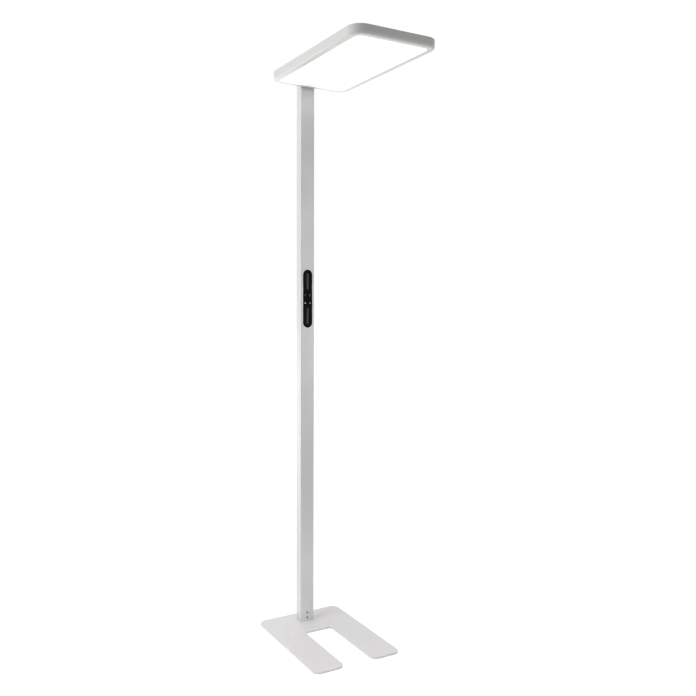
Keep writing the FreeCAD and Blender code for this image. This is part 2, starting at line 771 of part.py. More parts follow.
def make_head_block():
    """The block inside the pole's top: bolts and cap screws bite in it, leads pass its slot."""
    body = new_body("head_block", z="pole_top - head_block_height")
    half_width = "(pole_inside_width / 2 - joint_clearance)"
    half_depth = "(pole_inside_depth / 2 - joint_clearance)"
    slot, corner = "(lead_slot_width / 2)", "pole_inner_corner"
    block = sketch_on(body, "block_outline")
    outline(block, [
        ("-" + half_width, "-" + half_depth, corner), ("-" + slot, "-" + half_depth, "0"),
        ("-" + slot, "lead_slot_depth", corner), (slot, "lead_slot_depth", corner),
        (slot, "-" + half_depth, "0"), (half_width, "-" + half_depth, corner),
        (half_width, half_depth, corner), ("-" + half_width, half_depth, corner)])
    pad(body, "block", block, "head_block_height")
    front = sketch_on(body, "bolt_threads", "XZ_Plane", half_depth)
    for side_x in ("-", ""):
        for side_z in ("-", "+"):
            circle(front, side_x + "head_bolt_span_x / 2",
                   "lead_exit %s head_bolt_span_z / 2 - pole_top + head_block_height" % side_z,
                   "head_bolt + thread_clearance")
    pocket(body, "bolt_thread_holes", front,
           "head_bolt_length - chassis_thickness - head_wall - pole_wall + thread_runout")
    top = sketch_on(body, "cap_threads", offset="head_block_height")
    for side in ("-", ""):
        circle(top, side + "cap_screw_spacing / 2", "0", "cap_screw + thread_clearance")
    pocket(body, "cap_thread_holes", top, "cap_screw_length")


def make_terminal_block():
    """The mains terminal block on the foot block, with three conductor entries."""
    body = new_body("terminal_block", y="lead_setback", z="foot_block_top")
    foot = sketch_on(body, "flange_outline")
    rectangle(foot, "-terminal_flange_width / 2", "terminal_flange_width / 2",
              "-terminal_depth / 2", "terminal_depth / 2", "terminal_corner")
    pad(body, "flange", foot, "terminal_flange")
    tower = sketch_on(body, "tower_outline")
    rectangle(tower, "-terminal_width / 2", "terminal_width / 2",
              "-terminal_depth / 2", "terminal_depth / 2", "terminal_corner")
    pad(body, "tower", tower, "terminal_height")
    entry = sketch_on(body, "entry_circle", offset="terminal_height")
    circle(entry, "-terminal_pitch", "0", "terminal_entry")
    entry_cut = pocket(body, "entry", entry, "terminal_entry_depth")
    spread(body, "entries", [entry_cut], pitch_x="terminal_pitch", count_x=3)
    holes = sketch_on(body, "flange_holes")
    for side in ("-", ""):
        circle(holes, side + "terminal_screw_spacing / 2", "0", "terminal_screw + screw_clearance")
    pocket(body, "flange_cuts", holes, back=True)


def make_terminal_screws():
    """Two screws that hold the terminal block."""
    screws("terminal_screws", "terminal_screw", "terminal_screw_head_height", None,
           ("-terminal_screw_spacing / 2", "lead_setback", "foot_block_top + terminal_flange"), None,
           dict(pitch_x="terminal_screw_spacing", count_x=2))


def make_lead(label, x, diameter, corners):
    """A round lead along (y, z, bend) corners in a plane across the lamp; prints its check."""
    body = new_body(label, x=x)
    path = sketch_on(body, "path", "YZ_Plane")
    outline(path, corners, closed=False)
    start_level = corners[0][1]
    upright_start = value(corners[0][0]) == value(corners[1][0])
    if upright_start:
        section = sketch_on(body, "section", "XY_Plane", start_level)
        circle(section, "0", corners[0][0], diameter)
    else:
        section = sketch_on(body, "section", "XZ_Plane", "-(%s)" % corners[0][0])
        circle(section, "0", start_level, diameter)
    pipe = body.newObject("PartDesign::AdditivePipe", "sheath")
    pipe.Profile = section
    pipe.Spine = path
    body.Tip = pipe
    doc.recompute()
    length = sum(edge.Length for edge in path.Shape.Edges)
    full = math.pi * value(diameter) ** 2 / 4 * length
    radii = sorted(round(edge.Curve.Radius, 2) for edge in path.Shape.Edges
                   if hasattr(edge.Curve, "Radius"))
    print("%s: length %.1f, volume %.4f of its section times length, bend radii %s"
          % (label, length, body.Shape.Volume / full, radii))


def make_supply_lead():
    """The lead from the terminal block up the pole and into the driver."""
    make_lead("supply_lead", "-lead_spacing / 2", "supply_lead", [
        ("lead_setback", "terminal_top", "0"),
        ("lead_setback", "lead_exit", "lead_bend"),
        ("driver_rear", "lead_exit", "0")])


def make_control_lead():
    """The lead from the key panel's board up the pole and into the driver."""
    make_lead("control_lead", "lead_spacing / 2", "control_lead", [
        ("pole_front + board_setback + board_thickness",
         "control_height + lead_window_offset", "0"),
        ("lead_setback", "control_height + lead_window_offset", "control_lead_bend"),
        ("lead_setback", "lead_exit", "lead_bend"),
        ("driver_rear", "lead_exit", "0")])


# ---------------------------------------------------------------- key panel

def panel_body(label):
    """A sub-part of the panel, about the panel's centre on the pole's face."""
    return new_body(label, y="pole_front", z="control_height")


def make_control_frame():
    """The white moulding: ring on the pole, seat for the fascia and the tray inside the pole."""
    body = panel_body("control_frame")
    ring = sketch_on(body, "ring_outline", "XZ_Plane")
    stadium(ring, "0", "0", "recess_width + 2 * frame_ring", "recess_length + 2 * frame_ring")
    pad(body, "ring", ring, "frame_height")
    outer_edge = edge_names(
        body, lambda edge: abs(edge.BoundBox.YMax + value("frame_height")) < 1e-4)
    dress(body, "Fillet", "ring_edge", outer_edge, "ring_edge_round")
    tray = sketch_on(body, "tray_outline", "XZ_Plane")
    stadium(tray, "0", "0", "tray_width", "tray_length")
    pad(body, "tray", tray, "tray_depth", back=True)
    recess = sketch_on(body, "recess_outline", "XZ_Plane", "-fascia_seat")
    stadium(recess, "0", "0", "recess_width", "recess_length")
    pocket(body, "fascia_recess", recess, back=True)
    hollow = sketch_on(body, "hollow_outline", "XZ_Plane", "-fascia_seat")
    stadium(hollow, "0", "0", "tray_inside_width", "tray_inside_length")
    pocket(body, "tray_hollow", hollow, "tray_depth - tray_floor - fascia_seat")
    bosses = sketch_on(body, "boss_circles", "XZ_Plane", "-(board_setback + board_thickness)")
    holes = sketch_on(body, "boss_holes", "XZ_Plane", "-(board_setback + board_thickness)")
    for height in ("upper_key_offset", "-lower_key_offset"):
        circle(bosses, "0", height, "board_boss")
        circle(holes, "0", height, "board_screw + thread_clearance")
    pad(body, "board_bosses", bosses, "tray_depth - board_setback - board_thickness", back=True)
    pocket(body, "boss_threads", holes, "board_screw_length - board_thickness")
    window = sketch_on(body, "lead_window", "XZ_Plane", "-(tray_depth - tray_floor)")
    rectangle(window, "lead_spacing / 2 - lead_window_width / 2",
              "lead_spacing / 2 + lead_window_width / 2",
              "lead_window_offset - lead_window_below",
              "lead_window_offset + lead_window_above", "lead_window_corner")
    pocket(body, "lead_passage", window)
    behind_wall = "pole_wall + joint_clearance"
    for side, word in (("", "right"), ("-", "left")):
        wall, tip = side + "(tray_width / 2 - tray_wall / 2)", side + "(tray_width / 2 + hook_reach)"
        for level, height in (("-", "low"), ("", "high")):
            hook = sketch_on(body, "%s_%s_hook_profile" % (height, word),
                             offset=level + "hook_spacing / 2")
            polygon(hook, [(wall, behind_wall), (tip, behind_wall),
                           (side + "(tray_width / 2)", behind_wall + " + hook_depth"),
                           (wall, behind_wall + " + hook_depth")])
            pad(body, "%s_%s_hook" % (height, word), hook, "hook_width", both=True)


def make_control_fascia():
    """The black front plate with its openings and the lugs that carry the pivot pins."""
    body = panel_body("control_fascia")
    plate = sketch_on(body, "plate_outline", "XZ_Plane", "-fascia_seat")
    stadium(plate, "0", "0", "control_width", "control_length")
    pad(body, "plate", plate, "fascia_thickness")
    openings = sketch_on(body, "openings", "XZ_Plane", "-fascia_seat")
    for height in ("upper_key_offset", "-lower_key_offset"):
        stadium(openings, "0", height, "key_opening_width", "key_opening_length")
    for side in ("-", ""):
        for height in ("upper_button_offset", "-lower_button_offset"):
            circle(openings, side + "button_spacing / 2", height, "button_diameter + 2 * button_gap")
    pocket(body, "key_openings", openings, back=True)
    for name, height in (("upper", "upper_key_offset"), ("lower", "-lower_key_offset")):
        for side, near in (("right", "lug_inside"), ("left", "-lug_outside")):
            lug = sketch_on(body, "%s_%s_lug_profile" % (name, side), "YZ_Plane", near)
            rectangle(lug, "fascia_seat - fascia_thickness / 2", "-key_level + lug_round",
                      height + " - lug_round", height + " + lug_round", "lug_corner")
            pad(body, "%s_%s_lug" % (name, side), lug, "lug_thickness")
    pins = sketch_on(body, "pin_holes", "YZ_Plane")
    for height in ("upper_key_offset", "-lower_key_offset"):
        circle(pins, "-key_level", height, "pivot_pin + pin_hold")
    pocket(body, "pin_bores", pins, both=True)


def make_pivot_pins():
    """The steel pins that the rocker keys turn on."""
    body = panel_body("pivot_pins")
    pins = sketch_on(body, "pin_sections", "YZ_Plane")
    for height in ("upper_key_offset", "-lower_key_offset"):
        circle(pins, "-key_level", height, "pivot_pin")
    pad(body, "pins", pins, "2 * lug_outside", both=True)


def make_rocker(label, offset):
    """A long rocker key with its ridge, hub and two posts, about its pivot."""
    body = new_body(label, y="pole_front - key_level", z="control_height + " + offset)
    face = sketch_on(body, "face_outline", "XZ_Plane", "pivot_depth - key_thickness")
    stadium(face, "0", "0", "key_width", "key_length")
    pad(body, "face", face, "key_thickness")
    rim = edge_names(body, lambda edge: abs(edge.BoundBox.YMax + value("pivot_depth")) < 1e-4)
    dress(body, "Fillet", "face_edge", rim, "key_edge_round")
    ridge = sketch_on(body, "ridge_outline", "XZ_Plane", "pivot_depth")
    stadium(ridge, "0", "0", "ridge_width", "ridge_length")
    pad(body, "ridge", ridge, "ridge_height")
    top = "(pivot_depth + ridge_height)"
    rim = edge_names(body, lambda edge: abs(edge.BoundBox.YMin + value(top)) < 1e-4
                     and abs(edge.BoundBox.YMax + value(top)) < 1e-4)
    dress(body, "Chamfer", "ridge_edge", rim, "ridge_chamfer")
    hub = sketch_on(body, "hub_profile", "YZ_Plane")
    rectangle(hub, "-pivot_depth + key_thickness / 2", "hub_round", "-hub_round", "hub_round",
              "hub_corner")
    pad(body, "hub", hub, "hub_width", both=True)
    bore = sketch_on(body, "bore_circle", "YZ_Plane")
    circle(bore, "0", "0", "pivot_pin + pivot_play")
    pocket(body, "bore", bore, both=True)
    posts = sketch_on(body, "post_circles", "XZ_Plane", "pivot_depth - key_thickness")
    for side in ("-", ""):
        circle(posts, "0", side + "key_post_spacing / 2", "key_post")
    pad(body, "posts", posts,
        "pivot_depth - key_thickness + key_level + plunger_level - key_post_travel", back=True)


def make_button(label, side, offset):
    """A round push button with its retaining flange and stem; its face looks to -Y."""
    body = new_body(label, x=side + "button_spacing / 2",
                    y="pole_front - face_level - button_proud",
                    z="control_height + " + offset, turn=90)
    flange_top = "(button_proud + fascia_thickness + button_gap)"
    flange_base = "(%s + button_flange_thickness)" % flange_top
    tip = "(button_proud + face_level + plunger_level - button_room)"
    cap, edge = "button_diameter / 2", "button_edge"
    turned(body, "button", [
        ("0", "0"), ("0", "-" + tip), ("button_stem / 2", "-" + tip),
        ("button_stem / 2", "-" + flange_base), ("button_flange / 2", "-" + flange_base),
        ("button_flange / 2", "-" + flange_top), (cap, "-" + flange_top),
        (cap, "-" + edge), ("%s - %s" % (cap, edge), "0")])


def make_control_board():
    """The circuit board on the tray's bosses."""
    body = panel_body("control_board")
    board = sketch_on(body, "board_outline", "XZ_Plane", "-(board_setback + board_thickness)")
    stadium(board, "0", "0", "board_width", "board_length")
    pad(body, "board", board, "board_thickness")
    holes = sketch_on(body, "board_holes", "XZ_Plane")
    for height in ("upper_key_offset", "-lower_key_offset"):
        circle(holes, "0", height, "board_screw + screw_clearance")
    pocket(body, "board_cuts", holes, both=True)


def make_board_screws():
    """Two screws that hold the board on the tray."""
    screws("board_screws", "board_screw", "board_screw_head_height", None,
           ("0", "pole_front + board_setback", "control_height - lower_key_offset"), 90,
           dict(pitch_y="lower_key_offset + upper_key_offset", count_y=2))


def make_tact_switches():
    """The eight small switches under the keys' posts and the buttons' stems."""
    body = panel_body("tact_switches")
    places = [("0", centre + side + "key_post_spacing / 2")
              for centre in ("upper_key_offset", "-lower_key_offset") for side in (" - ", " + ")]
    places += [(side + "button_spacing / 2", height) for side in ("-", "")
               for height in ("upper_button_offset", "-lower_button_offset")]
    housings = sketch_on(body, "housing_squares", "XZ_Plane", "-board_setback")
    plungers = sketch_on(body, "plunger_circles", "XZ_Plane", "-board_setback + switch_height")
    for x, z in places:
        rectangle(housings, x + " - switch_size / 2", x + " + switch_size / 2",
                  z + " - switch_size / 2", z + " + switch_size / 2")
        circle(plungers, x, z, "switch_plunger")
    pad(body, "housings", housings, "switch_height")
    pad(body, "plungers", plungers, "switch_plunger_height")


# ---------------------------------------------------------------- head

def head_body(label, level="0"):
    """A sub-part of the head, from the rear wall's outside and a level above the underside."""
    return new_body(label, y="pole_front", z="head_underside + " + level)


def head_rectangle(sketch, inset):
    """The head's outline drawn in by an inset."""
    rectangle(sketch, "-(head_width / 2 - (%s))" % inset, "(head_width / 2 - (%s))" % inset,
              "-(head_length - (%s))" % inset, "-(%s)" % inset, "head_corner - (%s)" % inset)


def perimeter_places(inset, pitch, count):
    """Places along both long sides, evenly about the head's middle."""
    start = "(-head_length / 2 - %s * (%s))" % ((count - 1) / 2, pitch)
    return [(side + "(head_width / 2 - %s)" % inset, "%s + %d * (%s)" % (start, step, pitch))
            for side in ("-", "") for step in range(count)]


def make_head_frame():
    """The moulded frame: walls with a rounded lower edge, rim, bosses and the rear bolt holes."""
    body = head_body("head_frame")
    outer = sketch_on(body, "outer_outline")
    head_rectangle(outer, "0")
    pad(body, "block", outer, "head_thickness")
    inner = sketch_on(body, "inner_outline", offset="rim_thickness")
    head_rectangle(inner, "head_wall")
    pocket(body, "hollow", inner, back=True)
    floor = value("rim_thickness")
    dress(body, "Fillet", "inner_round", rim_edges(body, floor, 1), "head_edge_round - head_wall")
    dress(body, "Fillet", "outer_round", rim_edges(body, 0, -1), "head_edge_round")
    lit = sketch_on(body, "lit_opening")
    rectangle(lit, "-lit_width / 2", "lit_width / 2", "-rim_inset - lit_length", "-rim_inset",
              "lit_corner")
    pocket(body, "opening", lit, back=True)
    ledge = sketch_on(body, "cover_seat", offset="cover_underside")
    head_rectangle(ledge, "cover_ledge")
    pocket(body, "cover_recess", ledge, back=True)
    bosses = sketch_on(body, "boss_circles", offset="rim_thickness / 2")
    threads = sketch_on(body, "boss_threads", offset="chassis_level")
    for x, y in perimeter_places("boss_inset", "boss_pitch", BOSS_ROWS):
        circle(bosses, x, y, "boss_diameter")
        circle(threads, x, y, "chassis_screw + thread_clearance")
    pad(body, "bosses", bosses, "chassis_level - rim_thickness / 2")
    pocket(body, "boss_holes", threads, "chassis_screw_length - chassis_thickness")
    rear = sketch_on(body, "rear_openings", "XZ_Plane")
    for side_x in ("-", ""):
        for side_z in ("-", "+"):
            circle(rear, side_x + "head_bolt_span_x / 2",
                   "bolt_level %s head_bolt_span_z / 2" % side_z, "head_bolt + screw_clearance")
    rectangle(rear, "-lead_slot_width / 2", "lead_slot_width / 2",
              "bolt_level - lead_slot_height / 2", "bolt_level + lead_slot_height / 2",
              "lead_slot_corner")
    pocket(body, "rear_cuts", rear, "head_wall", back=True)


def make_head_cover():
    """The flat lid in the frame's top, with the window for the upward light."""
    body = head_body("head_cover", "cover_underside")
    lid = sketch_on(body, "lid_outline")
    head_rectangle(lid, "cover_ledge + joint_clearance")
    pad(body, "lid", lid, "cover_thickness")
    window = sketch_on(body, "window_outline")
    rectangle(window, "-window_width / 2", "window_width / 2",
              "-window_setback - window_length", "-window_setback", "window_corner")
    pocket(body, "window", window, back=True)
    holes = sketch_on(body, "screw_circles")
    for x, y in perimeter_places("standoff_inset", "standoff_pitch", STANDOFF_ROWS):
        circle(holes, x, y, "cover_screw + screw_clearance")
    pocket(body, "screw_passages", holes, back=True)
    top = value("cover_thickness")
    mouths = edge_names(body, lambda edge: at_height(edge, top) and len(edge.Vertexes) == 1)
    dress(body, "Chamfer", "screw_countersinks", mouths,
          "(cover_screw_head - cover_screw - screw_clearance) / 2")


def make_cover_screws():
    """Six countersunk screws in the lid."""
    x, y = perimeter_places("standoff_inset", "standoff_pitch", STANDOFF_ROWS)[0]
    screws("cover_screws", "cover_screw", None, "cover_screw_key",
           (x, "pole_front + " + y, "overall_height"), None,
           dict(pitch_x="head_width - 2 * standoff_inset", count_x=2,
                pitch_y="standoff_pitch", count_y=STANDOFF_ROWS), flat=True)


def make_cover_standoffs():
    """Six hexagonal posts, pegged in the chassis, that carry the lid."""
    x, y = perimeter_places("standoff_inset", "standoff_pitch", STANDOFF_ROWS)[0]
    body = new_body("cover_standoffs", x, "pole_front + " + y, "head_underside + chassis_top")
    hex_section = sketch_on(body, "hex_section")
    hexagon(hex_section, "standoff_flats")
    post = pad(body, "post", hex_section, "cover_underside - chassis_top")
    peg_section = sketch_on(body, "peg_section")
    circle(peg_section, "0", "0", "standoff_peg")
    peg = pad(body, "peg", peg_section, "chassis_thickness", back=True)
    thread = sketch_on(body, "thread", offset="cover_underside - chassis_top")
    circle(thread, "0", "0", "cover_screw + thread_clearance")
    hole = pocket(body, "thread_hole", thread, "cover_screw_length")
    spread(body, "group", [post, peg, hole], "head_width - 2 * standoff_inset", 2,
           "standoff_pitch", STANDOFF_ROWS)


def make_chassis_plate():
    """The sheet-metal plate that carries the head: rear flange bolted to the pole."""
    body = head_body("chassis_plate", "chassis_level")
    sheet_outline = sketch_on(body, "sheet_outline")
    side = "(head_width / 2 - head_wall - chassis_gap)"
    corner = "head_corner - head_wall"
    rectangle(sheet_outline, "-" + side, side, "-(head_length - head_wall - chassis_gap)",
              "-head_wall", corner)
    pad(body, "sheet", sheet_outline, "chassis_thickness")
    flange = sketch_on(body, "flange_section")
    rectangle(flange, "-chassis_flange_width / 2", "chassis_flange_width / 2",
              "-head_wall - chassis_thickness", "-head_wall")
    pad(body, "flange", flange, "cover_underside - chassis_level - joint_clearance")
    rear = sketch_on(body, "rear_openings", "XZ_Plane")
    for side_x in ("-", ""):
        for side_z in ("-", "+"):
            circle(rear, side_x + "head_bolt_span_x / 2",
                   "bolt_level %s head_bolt_span_z / 2 - chassis_level" % side_z,
                   "head_bolt + screw_clearance")
    rectangle(rear, "-lead_slot_width / 2", "lead_slot_width / 2",
              "bolt_level - lead_slot_height / 2 - chassis_level",
              "bolt_level + lead_slot_height / 2 - chassis_level", "lead_slot_corner")
    pocket(body, "rear_cuts", rear, "head_wall + 2 * chassis_thickness", back=True)
    holes = sketch_on(body, "hole_circles")
    for x, y in perimeter_places("boss_inset", "boss_pitch", BOSS_ROWS):
        circle(holes, x, y, "chassis_screw + screw_clearance")
    for x, y in perimeter_places("standoff_inset", "standoff_pitch", STANDOFF_ROWS):
        circle(holes, x, y, "standoff_peg + thread_clearance")
    for y in ("driver_foot / 2", "-driver_length - driver_foot / 2"):
        circle(holes, "0", "-driver_setback + " + y, "driver_screw + thread_clearance")
    pocket(body, "sheet_cuts", holes, back=True)


def make_chassis_screws():
    """Eight screws that hold the chassis on the frame's bosses."""
    x, y = perimeter_places("boss_inset", "boss_pitch", BOSS_ROWS)[0]
    screws("chassis_screws", "chassis_screw", "chassis_screw_head_height", None,
           (x, "pole_front + " + y, "head_underside + chassis_top"), None,
           dict(pitch_x="head_width - 2 * boss_inset", count_x=2,
                pitch_y="boss_pitch", count_y=BOSS_ROWS))


def make_head_bolts():
    """Four bolts from inside the head, through the walls into the pole's head block."""
    screws("head_bolts", "head_bolt", "head_bolt_head_height", "head_bolt_key",
           ("-head_bolt_span_x / 2", "pole_front - head_wall - chassis_thickness",
            "lead_exit - head_bolt_span_z / 2"), 90,
           dict(pitch_x="head_bolt_span_x", count_x=2, pitch_y="head_bolt_span_z", count_y=2))


def make_down_diffuser():
    """The opal panel: a lit face in the opening and a flange that lies on the rim."""
    body = head_body("down_diffuser", "diffuser_recess")
    face = sketch_on(body, "face_outline")
    head_rectangle(face, "rim_inset + diffuser_gap")
    pad(body, "face", face, "rim_thickness - diffuser_recess")
    flange = sketch_on(body, "flange_outline", offset="rim_thickness - diffuser_recess")
    head_rectangle(flange, "optics_inset")
    pad(body, "flange", flange, "diffuser_flange")


def make_light_guide():
    """The clear plate that spreads the strips' light."""
    body = head_body("light_guide", "rim_thickness + diffuser_flange")
    plate = sketch_on(body, "plate_outline")
    head_rectangle(plate, "optics_inset")
    pad(body, "plate", plate, "guide_thickness")


def make_reflector_sheet():
    """The white sheet above the guide."""
    body = head_body("reflector_sheet", "rim_thickness + diffuser_flange + guide_thickness")
    plate = sketch_on(body, "sheet_outline")
    head_rectangle(plate, "optics_inset")
    pad(body, "sheet", plate, "reflector_thickness")


def make_light_strips():
    """Two light strips along the guide's long edges."""
    body = head_body("light_strips", "rim_thickness")
    strips = sketch_on(body, "strip_sections")
    near = "(head_width / 2 - optics_inset + strip_gap)"
    middle = "(-head_length / 2)"
    for low, high in ((near, near + " + strip_thickness"),
                      ("-%s - strip_thickness" % near, "-" + near)):
        rectangle(strips, low, high, middle + " - strip_length / 2", middle + " + strip_length / 2")
    pad(body, "strips", strips, "strip_height")


def make_up_lens():
    """The clear window of the upward light, from below in the lid's opening."""
    body = head_body("up_lens", "cover_underside")
    raised = sketch_on(body, "raised_outline")
    rectangle(raised, "-(window_width / 2 - joint_clearance)", "(window_width / 2 - joint_clearance)",
              "-(window_setback + window_length - joint_clearance)",
              "-(window_setback + joint_clearance)", "window_corner - joint_clearance")
    pad(body, "raised", raised, "cover_thickness")
    flange = sketch_on(body, "flange_outline")
    rectangle(flange, "-(window_width / 2 + lens_overlap)", "(window_width / 2 + lens_overlap)",
              "-(window_setback + window_length + lens_overlap)",
              "-(window_setback - lens_overlap)", "window_corner + lens_overlap")
    pad(body, "flange", flange, "lens_flange", back=True)


def make_up_board():
    """The board of the upward light with its rows of chips."""
    body = head_body("up_board", "chassis_top")
    middle = "(-window_setback - window_length / 2)"
    board = sketch_on(body, "board_outline")
    rectangle(board, "-up_board_width / 2", "up_board_width / 2",
              middle + " - up_board_length / 2", middle + " + up_board_length / 2",
              "up_board_corner")
    pad(body, "board", board, "up_board_thickness")
    chip = sketch_on(body, "chip_square", offset="up_board_thickness")
    left = "(-(chip_span_x + chip_size) / 2)"
    front = "(%s - (chip_span_y + chip_size) / 2)" % middle
    rectangle(chip, left, left + " + chip_size", front, front + " + chip_size")
    one = pad(body, "chip", chip, "chip_height")
    spread(body, "chips", [one], "chip_pitch_x", CHIP_COLUMNS, "chip_pitch_y", CHIP_ROWS)


def make_driver():
    """The driver's case with a foot at each end."""
    body = new_body("led_driver", y="driver_rear", z="head_underside + chassis_top")
    feet = sketch_on(body, "foot_outline")
    rectangle(feet, "-driver_width / 2", "driver_width / 2", "-driver_length - driver_foot",
              "driver_foot", "driver_corner")
    pad(body, "feet", feet, "driver_foot_thickness")
    case = sketch_on(body, "case_outline")
    rectangle(case, "-driver_width / 2", "driver_width / 2", "-driver_length", "0", "driver_corner")
    pad(body, "case", case, "driver_height")
    holes = sketch_on(body, "foot_holes")
    for y in ("driver_foot / 2", "-driver_length - driver_foot / 2"):
        circle(holes, "0", y, "driver_screw + screw_clearance")
    pocket(body, "foot_cuts", holes, back=True)


def make_driver_screws():
    """Two screws that hold the driver on the chassis."""
    screws("driver_screws", "driver_screw", "driver_screw_head_height", None,
           ("0", "driver_rear - driver_length - driver_foot / 2",
            "head_underside + chassis_top + driver_foot_thickness"), None,
           dict(pitch_y="driver_length + driver_foot", count_y=2))


# ---------------------------------------------------------------- the whole lamp

for make in (make_base_plate, make_base_underlay, make_base_screws, make_foot_block,
             make_clamp_screws, make_pole, make_pole_cap, make_cap_screws, make_cable_inlet,
             make_head_block, make_terminal_block, make_terminal_screws, make_supply_lead,
             make_control_lead, make_control_frame, make_control_fascia, make_pivot_pins,
             make_control_board, make_board_screws, make_tact_switches, make_head_frame,
             make_head_cover, make_cover_screws, make_cover_standoffs, make_chassis_plate,
             make_chassis_screws, make_head_bolts, make_down_diffuser, make_light_guide,
             make_reflector_sheet, make_light_strips, make_up_lens, make_up_board, make_driver,
             make_driver_screws):
    make()
make_rocker("upper_key", "upper_key_offset")
make_rocker("lower_key", "-lower_key_offset")
for button, button_side, button_offset in (
        ("upper_left_button", "-", "upper_button_offset"),
        ("upper_right_button", "", "upper_button_offset"),
        ("lower_left_button", "-", "-lower_button_offset"),
        ("lower_right_button", "", "-lower_button_offset")):
    make_button(button, button_side, button_offset)

doc.recompute()
for item in doc.Objects:
    if "Invalid" in item.State or "Error" in item.State:
        raise ValueError("%s is not in order: %s" % (item.Label, item.State))
for piece in PIECES:
    if piece.Shape.isNull() or not piece.Shape.isValid():
        raise ValueError("%s has no valid shape" % piece.Label)

os.makedirs("parts", exist_ok=True)
for piece in PIECES:
    piece.Shape.exportStep(os.path.join("parts", piece.Label + ".step"))
    print("%-20s %2d solids %12.1f mm3" % (piece.Label, len(piece.Shape.Solids), piece.Shape.Volume))
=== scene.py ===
import math

import bmesh
import bpy
from mathutils import Matrix, Vector


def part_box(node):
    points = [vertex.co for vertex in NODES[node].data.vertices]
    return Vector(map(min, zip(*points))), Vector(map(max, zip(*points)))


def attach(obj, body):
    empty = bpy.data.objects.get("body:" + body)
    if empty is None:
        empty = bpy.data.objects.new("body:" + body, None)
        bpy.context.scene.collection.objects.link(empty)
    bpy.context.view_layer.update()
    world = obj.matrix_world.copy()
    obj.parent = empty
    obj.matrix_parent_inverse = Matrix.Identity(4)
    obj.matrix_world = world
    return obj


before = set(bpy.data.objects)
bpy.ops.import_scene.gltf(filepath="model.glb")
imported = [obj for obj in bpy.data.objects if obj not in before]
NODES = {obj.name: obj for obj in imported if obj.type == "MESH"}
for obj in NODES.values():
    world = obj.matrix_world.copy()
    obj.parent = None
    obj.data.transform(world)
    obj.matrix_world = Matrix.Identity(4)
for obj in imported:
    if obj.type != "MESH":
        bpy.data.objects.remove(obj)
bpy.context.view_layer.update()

MM = 0.001


# ---------------------------------------------------------------- node trees

def empty_tree(owner):
    """The node tree of a material or world, cleared."""
    owner.use_nodes = True
    owner.node_tree.nodes.clear()
    return owner.node_tree


def add(tree, kind, inputs=None, **settings):
    """One shader node with its settings; inputs are values or other nodes' sockets."""
    made = tree.nodes.new("ShaderNode" + kind)
    for name, setting in settings.items():
        setattr(made, name, setting)
    for name, source in (inputs or {}).items():
        if isinstance(source, bpy.types.NodeSocket):
            tree.links.new(source, made.inputs[name])
        else:
            made.inputs[name].default_value = source
    return made


def calc(tree, operation, *terms, clamp=False):
    """A sum, product or other step of arithmetic; gives its socket."""
    return add(tree, "Math", dict(enumerate(terms)), operation=operation, use_clamp=clamp).outputs[0]


def spread_to(tree, source, low, high, from_low=0.0, from_high=1.0):
    """A value moved from one range to another, held at its ends."""
    return add(tree, "MapRange", {"Value": source, "From Min": from_low, "From Max": from_high,
                                  "To Min": low, "To Max": high}).outputs["Result"]


def noise(tree, place, scale, detail, roughness=0.5, distortion=0.0):
    """Cloudy noise, with scale as lumps per metre."""
    return add(tree, "TexNoise", {"Vector": place, "Scale": scale, "Detail": detail,
                                  "Roughness": roughness, "Distortion": distortion}).outputs[0]


def coordinate(tree, vector, axis):
    """One coordinate of a vector."""
    return add(tree, "SeparateXYZ", {0: vector}).outputs[axis]


def upward(tree):
    """How far a face looks up: 1 straight up, 0 sideways, -1 straight down."""
    return coordinate(tree, add(tree, "NewGeometry").outputs["Normal"], "Z")


def blend_colour(tree, mask, one, other):
    """A colour between two, by a mask."""
    ends = (end if isinstance(end, bpy.types.NodeSocket) else (*end, 1.0) for end in (one, other))
    return add(tree, "Mix", dict(zip((0, 6, 7), (mask, *ends))), data_type="RGBA").outputs[2]


# ---------------------------------------------------------------- shared effects

WIDE_SHARE = 0.6


def effect(name, inputs, outputs):
    """An empty node group with its named inputs and outputs, the first input being the place."""
    tree = bpy.data.node_groups.new(name, "ShaderNodeTree")
    for label, kind, start in (("Vector", "Vector", None), *inputs):
        socket = tree.interface.new_socket(label, in_out="INPUT", socket_type="NodeSocket" + kind)
        if start is not None:
            socket.default_value = start
    for label, kind in outputs:
        tree.interface.new_socket(label, in_out="OUTPUT", socket_type="NodeSocket" + kind)
    return tree, tree.nodes.new("NodeGroupInput").outputs, tree.nodes.new("NodeGroupOutput").inputs


def wide_over_fine(tree, wide, fine):
    """A wide pattern with a fine one in it."""
    return calc(tree, "MULTIPLY_ADD", wide, WIDE_SHARE, calc(tree, "MULTIPLY", fine, 1.0 - WIDE_SHARE))


def make_coat_grain():
    """Orange peel of a sprayed or baked coat, with slow patches of tone over it."""
    tree, given, out = effect("coat_grain", [("Scale", "Float", 1200.0)],
                              [("Height", "Float"), ("Patches", "Float")])
    fine = noise(tree, given["Vector"], given["Scale"], 2.0, 0.55)
    wide = noise(tree, given["Vector"], calc(tree, "MULTIPLY", given["Scale"], 0.18), 1.0)
    patches = noise(tree, given["Vector"], 7.0, 3.0, 0.6)
    tree.links.new(wide_over_fine(tree, wide, fine), out["Height"])
    tree.links.new(spread_to(tree, patches, 0.0, 1.0, 0.3, 0.7), out["Patches"])
    return tree


